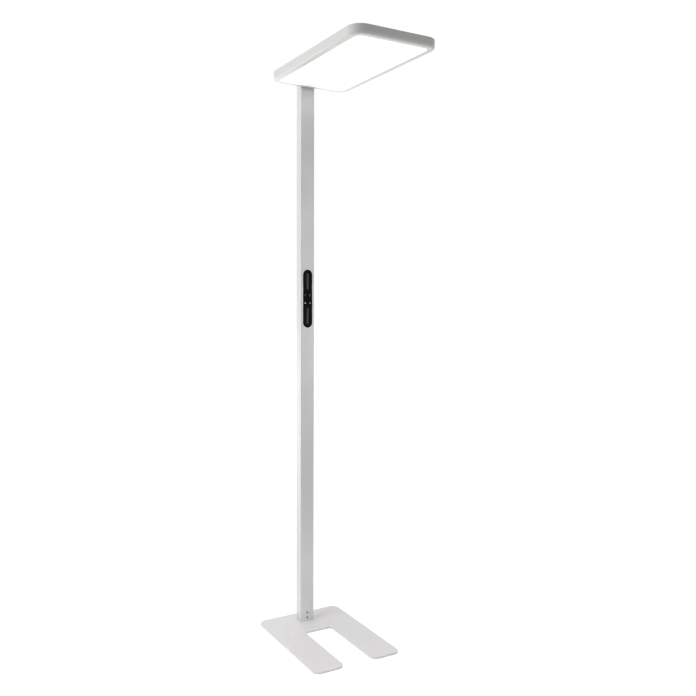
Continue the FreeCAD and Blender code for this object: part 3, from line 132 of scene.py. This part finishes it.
def make_edge_wear():
    """The edges whole, the edges broken up by wear, and a normal that softens them."""
    tree, given, out = effect("edge_wear", [("Width", "Float", 0.6 * MM)],
                              [("Edge", "Float"), ("Mask", "Float"), ("Soft Normal", "Vector")])
    soft = add(tree, "Bevel", {"Radius": given["Width"]}, samples=6).outputs[0]
    plain = add(tree, "NewGeometry").outputs["Normal"]
    across = add(tree, "VectorMath", {0: soft, 1: plain}, operation="DOT_PRODUCT").outputs["Value"]
    edge = spread_to(tree, across, 1.0, 0.0, 0.75, 0.98)
    rubbed = spread_to(tree, noise(tree, given["Vector"], 160.0, 4.0, 0.7), 0.0, 1.0, 0.42, 0.62)
    tree.links.new(edge, out["Edge"])
    tree.links.new(calc(tree, "MULTIPLY", edge, rubbed), out["Mask"])
    tree.links.new(soft, out["Soft Normal"])
    return tree


def make_settled_dust():
    """A thin veil on what faces up, uneven."""
    tree, given, out = effect("settled_dust", [("Amount", "Float", 0.3)], [("Mask", "Float")])
    up = spread_to(tree, upward(tree), 0.0, 1.0, 0.55, 0.95)
    specks = spread_to(tree, noise(tree, given["Vector"], 420.0, 3.0, 0.75), 0.2, 1.0, 0.4, 0.7)
    drift = spread_to(tree, noise(tree, given["Vector"], 14.0, 4.0, 0.6), 0.1, 1.0, 0.35, 0.7)
    uneven = calc(tree, "MULTIPLY", up, calc(tree, "MULTIPLY", specks, drift))
    tree.links.new(calc(tree, "MULTIPLY", uneven, given["Amount"]), out["Mask"])
    return tree


def make_drawn_lines():
    """The fine lines that drawing or milling leaves; Stretch is lines per metre along each axis."""
    tree, given, out = effect("drawn_lines", [("Stretch", "Vector", None)],
                              [("Height", "Float"), ("Streaks", "Float")])
    stretched = add(tree, "VectorMath", {0: given["Vector"], 1: given["Stretch"]},
                    operation="MULTIPLY").outputs[0]
    fine = noise(tree, stretched, 1.0, 3.0, 0.6)
    wide = noise(tree, stretched, 0.14, 2.0)
    tree.links.new(fine, out["Height"])
    tree.links.new(spread_to(tree, wide_over_fine(tree, wide, fine), 0.0, 1.0, 0.35, 0.65),
                   out["Streaks"])
    return tree


def make_handling_marks():
    """Faint finger smudges and hairlines on a smooth surface that is touched."""
    tree, given, out = effect("handling_marks", [], [("Smudges", "Float"), ("Hairlines", "Float")])
    smudge = noise(tree, given["Vector"], 90.0, 5.0, 0.65, 0.8)
    turned = add(tree, "Mapping", {"Vector": given["Vector"], "Rotation": (0.5, 0.7, 0.4)}).outputs[0]
    hair = add(tree, "TexVoronoi", {"Vector": turned, "Scale": 260.0}, feature="DISTANCE_TO_EDGE")
    tree.links.new(spread_to(tree, smudge, 0.0, 1.0, 0.42, 0.68), out["Smudges"])
    tree.links.new(spread_to(tree, hair.outputs["Distance"], 1.0, 0.0, 0.0, 0.02), out["Hairlines"])
    return tree


COAT_GRAIN = make_coat_grain()
EDGE_WEAR = make_edge_wear()
SETTLED_DUST = make_settled_dust()
DRAWN_LINES = make_drawn_lines()
HANDLING_MARKS = make_handling_marks()


# ---------------------------------------------------------------- finishes

# Colours are linear red, green and blue. A pair is the darker and the lighter tone of one finish.
HEAD_COAT = (0.555, 0.547, 0.535)
BASE_COAT = (0.742, 0.729, 0.727)
# Share of the base coat's tone on the plate's upright edges: a painted shade on those edges.
BASE_SIDE_PAINTED_SHADE = 0.60
DUST = (0.62, 0.60, 0.57)
POLE_TONES = ((0.548, 0.547, 0.562), (0.570, 0.569, 0.582))
POLE_EDGE = (0.63, 0.63, 0.64)
KEY_FIELD = (0.004, 0.004, 0.0044)
KEY_BAR = (0.085, 0.085, 0.088)
# Painted highlight round the key rims, where light catches their rounded edges.
KEY_RIM_HIGHLIGHT = (0.10, 0.10, 0.104)
FASCIA_TONES = ((0.0015, 0.0015, 0.0017), (0.003, 0.003, 0.0032))
FASCIA_EDGE = (0.03, 0.03, 0.03)
FELT_TONES = ((0.018, 0.018, 0.02), (0.06, 0.06, 0.062))
OPAL_TONES = ((0.86, 0.86, 0.86), (0.90, 0.90, 0.90))
OPAL_LIGHT = ((0.985, 0.985, 0.98), (1.0, 1.0, 0.995))
LACQUER_TONES = ((0.80, 0.80, 0.77), (0.84, 0.84, 0.82))
PHOSPHOR_TONES = ((0.80, 0.60, 0.10), (0.84, 0.66, 0.16))

PANEL_GLOW = 0.24
KEY_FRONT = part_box("upper_key")[0].y
UP_CHIP_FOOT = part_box("up_board")[1].z - 0.8 * MM

EVEN_LINES = (900.0, 900.0, 900.0)
LINES_UP_THE_POLE = (2600.0, 2600.0, 6.0)
LINES_ACROSS = (60.0, 1900.0, 1900.0)
LINES_FRONT_TO_BACK = (1700.0, 30.0, 1700.0)


class Finish:
    """A material in the making: its tree, its object coordinates and its one shader."""

    def __init__(self, name, **plain):
        self.material = bpy.data.materials.new(name)
        self.tree = empty_tree(self.material)
        self.place = add(self.tree, "TexCoord").outputs["Object"]
        self.shader = add(self.tree, "BsdfPrincipled")
        add(self.tree, "OutputMaterial", {"Surface": self.shader.outputs[0]})
        for socket, number in plain.items():
            self.shader.inputs[socket.replace("_", " ")].default_value = number

    def effect(self, group, **given):
        """Place a shared effect with this material's own values."""
        made = add(self.tree, "Group", node_tree=group)
        self.tree.links.new(self.place, made.inputs["Vector"])
        for name, number in given.items():
            made.inputs[name].default_value = number
        return made.outputs

    def rubbed(self, tone, wear, share, edge):
        """A tone that goes some way over to another where the edges are worn."""
        return blend_colour(self.tree, calc(self.tree, "MULTIPLY", wear["Mask"], share), tone, edge)

    def relief(self, height, depth, under=None):
        """A bump of a depth in metres, over another normal."""
        bump = add(self.tree, "Bump", {"Height": height, "Distance": depth, "Strength": 1.0})
        if under is not None:
            self.tree.links.new(under, bump.inputs["Normal"])
        return bump.outputs[0]

    def done(self, **sources):
        """Lead sockets into the shader, and give the material."""
        for socket, source in sources.items():
            self.tree.links.new(source, self.shader.inputs[socket.replace("_", " ")])
        return self.material


def shade(colour, factor):
    """A colour made lighter or darker."""
    return tuple(min(1.0, part * factor) for part in colour)


def coated(name, colour, rough, grain, depth, dust=0.0, edge=0.6 * MM, worn=1.06, side_shade=1.0):
    """A painted or powder-coated metal; its last argument scales the tone of its upright faces beside
    the rest, a painted shade on them.
    """
    made = Finish(name)
    tree = made.tree
    peel = made.effect(COAT_GRAIN, Scale=grain)
    wear = made.effect(EDGE_WEAR, Width=edge)
    tone = blend_colour(tree, peel["Patches"], shade(colour, 0.985), shade(colour, 1.015))
    tone = made.rubbed(tone, wear, 0.5, shade(colour, worn))
    # Painted shade: upright faces are darkened in colour to stand for the shade they get from the
    # light.
    if side_shade != 1.0:
        upright = spread_to(tree, calc(tree, "ABSOLUTE", upward(tree)), 1.0, 0.0, 0.3, 0.8)
        tone = blend_colour(tree, upright, tone, shade(colour, side_shade))
    dull = spread_to(tree, peel["Patches"], *rough)
    if dust:
        veil = made.effect(SETTLED_DUST, Amount=dust)["Mask"]
        tone = blend_colour(tree, veil, tone, DUST)
        dull = calc(tree, "MULTIPLY_ADD", veil, 0.25, dull, clamp=True)
    return made.done(Base_Color=tone, Roughness=dull,
                     Normal=made.relief(peel["Height"], depth, wear["Soft Normal"]))


def metal(name, colour, rough, stretch, depth):
    """A bare or plated metal with the lines of its making."""
    made = Finish(name, Metallic=1.0)
    lines = made.effect(DRAWN_LINES, Stretch=stretch)
    wear = made.effect(EDGE_WEAR, Width=0.3 * MM)
    tone = blend_colour(made.tree, lines["Streaks"], shade(colour, 0.95), shade(colour, 1.04))
    tone = made.rubbed(tone, wear, 0.6, shade(colour, 1.15))
    smoothest, dullest = rough
    return made.done(Base_Color=tone,
                     Roughness=spread_to(made.tree, lines["Streaks"], dullest, smoothest),
                     Normal=made.relief(lines["Height"], depth, wear["Soft Normal"]))


def moulded(name, colour, rough, grain=2600.0, depth=0.012 * MM):
    """A moulded plastic with the fine texture of its mould."""
    made = Finish(name)
    peel = made.effect(COAT_GRAIN, Scale=grain)
    wear = made.effect(EDGE_WEAR, Width=0.3 * MM)
    tone = blend_colour(made.tree, peel["Patches"], shade(colour, 0.94), shade(colour, 1.02))
    tone = made.rubbed(tone, wear, 0.4, shade(colour, 1.12))
    return made.done(Base_Color=tone, Roughness=spread_to(made.tree, peel["Patches"], *rough),
                     Normal=made.relief(peel["Height"], depth, wear["Soft Normal"]))


def satin_pole():
    """The pole's extruded profile: satin, with faint lines along its length."""
    made = Finish("satin_pole_profile", Metallic=0.25)
    lines = made.effect(DRAWN_LINES, Stretch=LINES_UP_THE_POLE)
    peel = made.effect(COAT_GRAIN, Scale=1500.0)
    wear = made.effect(EDGE_WEAR, Width=1.2 * MM)
    tone = made.rubbed(blend_colour(made.tree, lines["Streaks"], *POLE_TONES), wear, 0.4, POLE_EDGE)
    return made.done(Base_Color=tone, Roughness=spread_to(made.tree, peel["Patches"], 0.36, 0.42),
                     Normal=made.relief(lines["Height"], 0.004 * MM, wear["Soft Normal"]))


def black_key():
    """The keys' satin black, lighter on the raised bars, with finger smudges and a painted highlight
    round the rims.
    """
    made = Finish("satin_black_key", Specular_IOR_Level=0.03)
    tree = made.tree
    peel = made.effect(COAT_GRAIN, Scale=3000.0)
    marks = made.effect(HANDLING_MARKS)
    wear = made.effect(EDGE_WEAR, Width=0.4 * MM)
    # Painted highlight: a broad edge mask lightens the key rims.
    rim_highlight = made.effect(EDGE_WEAR, Width=2.4 * MM)["Edge"]
    bar = spread_to(tree, coordinate(tree, made.place, "Y"), 1.0, 0.0,
                    KEY_FRONT + 0.1 * MM, KEY_FRONT + 0.25 * MM)
    tone = blend_colour(tree, rim_highlight, blend_colour(tree, bar, KEY_FIELD, KEY_BAR), KEY_RIM_HIGHLIGHT)
    return made.done(Base_Color=tone, Roughness=spread_to(tree, marks["Smudges"], 0.34, 0.48),
                     Normal=made.relief(peel["Height"], 0.006 * MM, wear["Soft Normal"]))


def black_fascia():
    """The panel's front plate: smooth black with faint smudges and hairlines."""
    made = Finish("smooth_black_front", Specular_IOR_Level=0.015)
    marks = made.effect(HANDLING_MARKS)
    wear = made.effect(EDGE_WEAR, Width=0.25 * MM)
    tone = blend_colour(made.tree, marks["Smudges"], *FASCIA_TONES)
    tone = made.rubbed(tone, wear, 0.5, FASCIA_EDGE)
    return made.done(Base_Color=tone, Roughness=spread_to(made.tree, marks["Smudges"], 0.16, 0.30),
                     Normal=made.relief(marks["Hairlines"], 0.003 * MM, wear["Soft Normal"]))


def felt():
    """Dense felt: three layers of short fibres that cross."""
    made = Finish("dark_felt", Roughness=0.95, Sheen_Weight=0.35, Sheen_Roughness=0.5)
    tree = made.tree
    layers = []
    for turn, stretch in ((0.4, (500.0, 3000.0, 900.0)), (1.5, (420.0, 2600.0, 900.0)),
                          (2.6, (560.0, 3300.0, 900.0))):
        laid = add(tree, "Mapping", {"Vector": made.place, "Rotation": (0.0, 0.0, turn),
                                     "Scale": stretch})
        layers.append(noise(tree, laid.outputs[0], 1.0, 2.0))
    highest = calc(tree, "MAXIMUM", calc(tree, "MAXIMUM", layers[0], layers[1]), layers[2])
    fibres = spread_to(tree, highest, 0.0, 1.0, 0.45, 0.75)
    return made.done(Base_Color=blend_colour(tree, fibres, *FELT_TONES),
                     Normal=made.relief(fibres, 0.3 * MM))


def opal_panel():
    """The lit opal panel: even white light, a touch stronger towards its long edges."""
    made = Finish("lit_opal_panel", Roughness=0.5, Emission_Strength=PANEL_GLOW)
    tree = made.tree
    from_middle = calc(tree, "ABSOLUTE", coordinate(tree, made.place, "X"))
    side = spread_to(tree, from_middle, 0.0, 1.0, 60 * MM, 125 * MM)
    grain = noise(tree, made.place, 900.0, 2.0)
    return made.done(Base_Color=blend_colour(tree, grain, *OPAL_TONES),
                     Emission_Color=blend_colour(tree, side, *OPAL_LIGHT),
                     Normal=made.relief(grain, 0.01 * MM))


def clear_sheet(name, colour, rough):
    """Clear or frosted acrylic, its frosting a little uneven."""
    made = Finish(name, Transmission_Weight=1.0, IOR=1.49)
    frost = noise(made.tree, made.place, 700.0, 3.0)
    return made.done(Base_Color=blend_colour(made.tree, frost, shade(colour, 0.98), colour),
                     Roughness=spread_to(made.tree, frost, *rough, 0.3, 0.7),
                     Normal=made.relief(frost, 0.01 * MM))


def light_board():
    """White lacquered light boards whose upward chips are the yellow of unlit phosphor."""
    made = Finish("white_light_board")
    tree = made.tree
    chip = spread_to(tree, coordinate(tree, made.place, "Z"), 0.0, 1.0,
                     UP_CHIP_FOOT + 0.2 * MM, UP_CHIP_FOOT + 0.3 * MM)
    grain = made.effect(COAT_GRAIN, Scale=1800.0)
    lacquer = blend_colour(tree, grain["Patches"], *LACQUER_TONES)
    phosphor = blend_colour(tree, grain["Patches"], *PHOSPHOR_TONES)
    return made.done(Base_Color=blend_colour(tree, chip, lacquer, phosphor),
                     Roughness=spread_to(tree, grain["Patches"], 0.4, 0.55),
                     Normal=made.relief(grain["Height"], 0.01 * MM))


def circuit_board():
    """Green lacquer over copper tracks."""
    made = Finish("green_lacquered_board")
    stood_up = add(made.tree, "Mapping", {"Vector": made.place, "Rotation": (math.pi / 2, 0.0, 0.0)})
    grid = add(made.tree, "TexBrick", {
        "Vector": stood_up.outputs[0], "Scale": 160.0, "Mortar Size": 0.06,
        "Color1": (0.018, 0.11, 0.05, 1.0), "Color2": (0.022, 0.13, 0.06, 1.0),
        "Mortar": (0.05, 0.24, 0.10, 1.0)})
    return made.done(Base_Color=grid.outputs[0],
                     Roughness=spread_to(made.tree, grid.outputs["Fac"], 0.28, 0.4),
                     Normal=made.relief(grid.outputs["Fac"], 0.03 * MM))


# Each finish is under the first node that has it: colour, smoothest and dullest roughness, then
# grain or lines per metre and relief where they aren't the usual ones.
FINISHES = {
    "base_plate": coated("base_powder_coat", BASE_COAT, (0.50, 0.60), 1400.0, 0.03 * MM, dust=0.12,
                         side_shade=BASE_SIDE_PAINTED_SHADE),
    "head_frame": coated("head_satin_coat", HEAD_COAT, (0.42, 0.50), 1300.0, 0.02 * MM, dust=0.1),
    "pole": satin_pole(),
    "pole_cap": moulded("cap_grey_moulding", (0.60, 0.60, 0.605), (0.45, 0.55)),
    "control_frame": moulded("panel_white_moulding", (0.92, 0.92, 0.915), (0.35, 0.45)),
    "terminal_block": moulded("terminal_white_moulding", (0.78, 0.78, 0.76), (0.4, 0.5)),
    "cable_inlet": moulded("grey_rubber_bush", (0.10, 0.10, 0.102), (0.7, 0.85), 1800.0, 0.03 * MM),
    "supply_lead": moulded("pale_lead_sheath", (0.60, 0.60, 0.60), (0.5, 0.62), 1500.0, 0.02 * MM),
    "control_fascia": black_fascia(),
    "upper_key": black_key(),
    "tact_switches": moulded("black_switch_plastic", (0.02, 0.02, 0.021), (0.4, 0.5)),
    "control_board": circuit_board(),
    "base_underlay": felt(),
    "base_screws": metal("zinc_plated_steel", (0.62, 0.62, 0.64), (0.22, 0.36), EVEN_LINES,
                         0.006 * MM),
    "clamp_screws": coated("black_oxide_steel", (0.014, 0.014, 0.016), (0.30, 0.42), 2200.0,
                           0.01 * MM, edge=0.3 * MM, worn=3.0),
    "foot_block": metal("milled_aluminium", (0.72, 0.72, 0.73), (0.30, 0.42), LINES_ACROSS,
                        0.01 * MM),
    "chassis_plate": metal("mill_finish_sheet", (0.70, 0.70, 0.71), (0.34, 0.46),
                           LINES_FRONT_TO_BACK, 0.008 * MM),
    "down_diffuser": opal_panel(),
    "light_guide": clear_sheet("clear_guide_sheet", (0.96, 0.98, 0.98), (0.0, 0.05)),
    "up_lens": clear_sheet("frosted_lens_sheet", (0.95, 0.96, 0.97), (0.18, 0.30)),
    "reflector_sheet": moulded("white_reflecting_film", (0.86, 0.86, 0.85), (0.55, 0.65)),
    "light_strips": light_board(),
    "led_driver": moulded("driver_white_case", (0.74, 0.74, 0.72), (0.4, 0.5)),
}

SAME_FINISH = {
    "head_frame": ("head_cover",),
    "supply_lead": ("control_lead",),
    "upper_key": ("lower_key", "upper_left_button", "upper_right_button", "lower_left_button",
                  "lower_right_button"),
    "base_screws": ("cap_screws", "terminal_screws", "pivot_pins", "board_screws", "cover_screws",
                    "cover_standoffs", "chassis_screws", "head_bolts", "driver_screws"),
    "foot_block": ("head_block",),
    "light_strips": ("up_board",),
}

for source, others in SAME_FINISH.items():
    for other in others:
        FINISHES[other] = FINISHES[source]
for node_name, finish in FINISHES.items():
    for slot in NODES[node_name].material_slots:
        slot.material = finish
bare = sorted(set(NODES) - set(FINISHES))
if bare:
    raise ValueError("no finish for " + ", ".join(bare))


# ---------------------------------------------------------------- marks printed on the buttons

MARK_THICKNESS = 0.06 * MM
MARK_SIDES = 40
SLASH_WIDTH = 1.4 * MM
SLASH_LENGTH = 7.4 * MM
SLASH_LEAN = 28
RING_OUTER = 4.2 * MM
RING_INNER = 3.4 * MM
BRIGHT_DOT_RADIUS = 2.3 * MM
DIM_DOT_RADIUS = 2.5 * MM
DOT_DROP = 1.2 * MM


def finished(name, mesh, material):
    """An object at the origin made of a bmesh, in one material."""
    data = bpy.data.meshes.new(name)
    mesh.to_mesh(data)
    mesh.free()
    data.materials.append(material)
    piece = bpy.data.objects.new(name, data)
    bpy.context.collection.objects.link(piece)
    return piece


def turn(mesh, degrees, axis):
    """Turn a bmesh about an axis through the origin."""
    bmesh.ops.rotate(mesh, verts=mesh.verts, cent=(0, 0, 0),
                     matrix=Matrix.Rotation(math.radians(degrees), 3, axis))


def slash_mark():
    """A short bar that leans to the right."""
    mesh = bmesh.new()
    bmesh.ops.create_cube(mesh, size=1.0)
    bmesh.ops.scale(mesh, verts=mesh.verts, vec=(SLASH_WIDTH, MARK_THICKNESS, SLASH_LENGTH))
    turn(mesh, SLASH_LEAN, "Y")
    return mesh


def disc_mark(radius):
    """A thin disc that faces the front."""
    mesh = bmesh.new()
    bmesh.ops.create_cone(mesh, cap_ends=True, segments=MARK_SIDES, radius1=radius, radius2=radius,
                          depth=MARK_THICKNESS)
    turn(mesh, 90, "X")
    return mesh


def ring_mark(outer, inner):
    """A thin ring that faces the front."""
    mesh = disc_mark(outer)
    caps = [face for face in mesh.faces if len(face.verts) == MARK_SIDES]
    bmesh.ops.inset_individual(mesh, faces=caps, thickness=outer - inner, use_even_offset=True)
    rims = [edge for face in caps for edge in face.edges]
    bmesh.ops.delete(mesh, geom=caps, context="FACES_ONLY")
    bmesh.ops.bridge_loops(mesh, edges=rims)
    return mesh


def print_on_button(name, mesh, button, drop, ink):
    """Lay a mark on a button's face, so far below its middle."""
    low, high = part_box(button)
    middle = ((low.x + high.x) / 2, low.y - MARK_THICKNESS / 2, (low.z + high.z) / 2 - drop)
    bmesh.ops.translate(mesh, verts=mesh.verts, vec=middle)
    bmesh.ops.recalc_face_normals(mesh, faces=mesh.faces)
    piece = finished(name, mesh, ink)
    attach(piece, button)


GREY_INK = moulded("grey_mark_print", (0.26, 0.26, 0.268), (0.45, 0.55))
WHITE_INK = moulded("white_mark_print", (0.93, 0.93, 0.93), (0.4, 0.5))

for mark, mesh, button, drop, ink in (
        ("slash_mark", slash_mark(), "upper_left_button", 0.0, GREY_INK),
        ("ring_mark", ring_mark(RING_OUTER, RING_INNER), "upper_right_button", 0.0, GREY_INK),
        ("bright_dot", disc_mark(BRIGHT_DOT_RADIUS), "lower_left_button", DOT_DROP, WHITE_INK),
        ("dim_dot", disc_mark(DIM_DOT_RADIUS), "lower_right_button", DOT_DROP, GREY_INK)):
    print_on_button(mark, mesh, button, drop, ink)


# ---------------------------------------------------------------- floor, light and camera

FLOOR_HALF = 30.0
FLOOR_DROP = 0.5 * MM
FLOOR_PAINT = 0.12
FLOOR_SEEN = 0.97
BACKDROP_SEEN = 1.02
WHITE = (1.0, 1.0, 1.0, 1.0)

# Pools of light on the floor: centre, reach, strength.
FLOOR_POOLS = (
    ((-0.1, -0.4), 0.8, 1.18),
    ((3.5, -0.5), 2.0, 1.82),
    ((0, 3), 2.0, 1.77),
    ((0, 11), 6.0, 7.24),
)

# Broad light from all round the lamp: the side it comes from, sharpness, strength.
ROOM_LIGHT = (
    ((0, 1, 0.3), 3, 1.29),
    ((-0.8, 0.6, 0), 6, 1.15),
    ((1, 0, 0.2), 3, 0.36),
    ((0, 0, 1), 3, 0.96),
)

# Studio lights: name, place, what it looks at, width and height, power, spread in degrees.
SOFT_BOXES = (
    ("left_softbox", (-3.2, -0.4, 1.9), (0.0, -0.2, 1.1), (2.4, 2.6), 77.0, 180.0),
    ("front_strip", (1.9, -3.8, 1.3), (0.0, 0.0, 1.2), (0.9, 2.6), 41.0, 180.0),
    ("foot_spot", (-1.4, -1.1, 0.5), (0.0, 0.01, 0.0), (0.1, 0.1), 0.020, 5.0),
)

# The camera: its place, then how it is turned, tipped down and rolled, in degrees.
VIEW_PLACE = (-1.24896, -2.49025, 1.16958)
VIEW_TURN = -29.81
VIEW_TIP = 3.35
VIEW_ROLL = 0.24
VIEW_LENS = 39.95
VIEW_SENSOR = 36.0


def to_camera(tree, light, seen):
    """The strength that lights the lamp, and another that the camera itself sees."""
    ray = add(tree, "LightPath").outputs["Is Camera Ray"]
    return add(tree, "Mix", {0: ray, 2: light, 3: seen}, data_type="FLOAT").outputs[0]


def floor_paint():
    """White, with pools of light that it throws back up."""
    made = bpy.data.materials.new("white_floor")
    tree = empty_tree(made)
    place = add(tree, "TexCoord").outputs["Object"]
    bounce = 0.0
    for centre, reach, strength in FLOOR_POOLS:
        away = add(tree, "VectorMath", {0: place, 1: (*centre, 0.0)}, operation="DISTANCE")
        away = calc(tree, "DIVIDE", away.outputs["Value"], reach)
        fall = calc(tree, "POWER", math.exp(-1.0), calc(tree, "MULTIPLY", away, away))
        bounce = calc(tree, "MULTIPLY_ADD", fall, strength, bounce)
    glow = add(tree, "Emission", {"Color": WHITE, "Strength": to_camera(tree, bounce, FLOOR_SEEN)})
    paint = add(tree, "BsdfDiffuse", {"Color": (FLOOR_PAINT, FLOOR_PAINT, FLOOR_PAINT, 1.0)})
    both = add(tree, "AddShader", {0: glow.outputs[0], 1: paint.outputs[0]})
    add(tree, "OutputMaterial", {"Surface": both.outputs[0]})
    return made


def make_floor():
    """A plain white floor, just under the felt."""
    mesh = bmesh.new()
    bmesh.ops.create_grid(mesh, x_segments=1, y_segments=1, size=FLOOR_HALF)
    bmesh.ops.translate(mesh, verts=mesh.verts, vec=(0.0, 0.0, -FLOOR_DROP))
    finished("floor", mesh, floor_paint())


def make_world():
    """White to the camera, and broad soft light from all round for the lamp."""
    world = bpy.data.worlds.new("studio")
    bpy.context.scene.world = world
    tree = empty_tree(world)
    way = add(tree, "TexCoord").outputs["Generated"]
    light = 0.0
    for side, sharpness, strength in ROOM_LIGHT:
        toward = add(tree, "VectorMath", {0: way, 1: Vector(side).normalized()},
                     operation="DOT_PRODUCT").outputs["Value"]
        lobe = calc(tree, "POWER", calc(tree, "MAXIMUM", toward, 0.0), sharpness)
        light = calc(tree, "MULTIPLY_ADD", lobe, strength, light)
    back = add(tree, "Background", {"Color": WHITE, "Strength": to_camera(tree, light, BACKDROP_SEEN)})
    add(tree, "OutputWorld", {"Surface": back.outputs[0]})


def make_soft_box(name, place, aim, size, power, spread):
    """An even rectangular light that looks from a place at another."""
    data = bpy.data.lights.new(name, "AREA")
    data.shape = "RECTANGLE"
    data.size, data.size_y = size
    data.energy = power
    data.spread = math.radians(spread)
    light = bpy.data.objects.new(name, data)
    light.location = place
    light.rotation_euler = (Vector(aim) - Vector(place)).to_track_quat("-Z", "Y").to_euler()
    light.visible_camera = False
    bpy.context.collection.objects.link(light)


def make_camera():
    """The photograph's view: in front, to the lamp's left, at about half its height."""
    data = bpy.data.cameras.new("view")
    data.lens = VIEW_LENS
    data.sensor_width = VIEW_SENSOR
    data.clip_start, data.clip_end = 0.1, 100.0
    camera = bpy.data.objects.new("view", data)
    turned = (Matrix.Rotation(math.radians(VIEW_TURN), 4, "Z")
              @ Matrix.Rotation(math.radians(90 - VIEW_TIP), 4, "X")
              @ Matrix.Rotation(math.radians(VIEW_ROLL), 4, "Z"))
    camera.matrix_world = Matrix.Translation(VIEW_PLACE) @ turned
    bpy.context.collection.objects.link(camera)
    bpy.context.scene.camera = camera


make_floor()
make_world()
for soft_box in SOFT_BOXES:
    make_soft_box(*soft_box)
make_camera()
bpy.context.scene.view_settings.view_transform = "Standard"
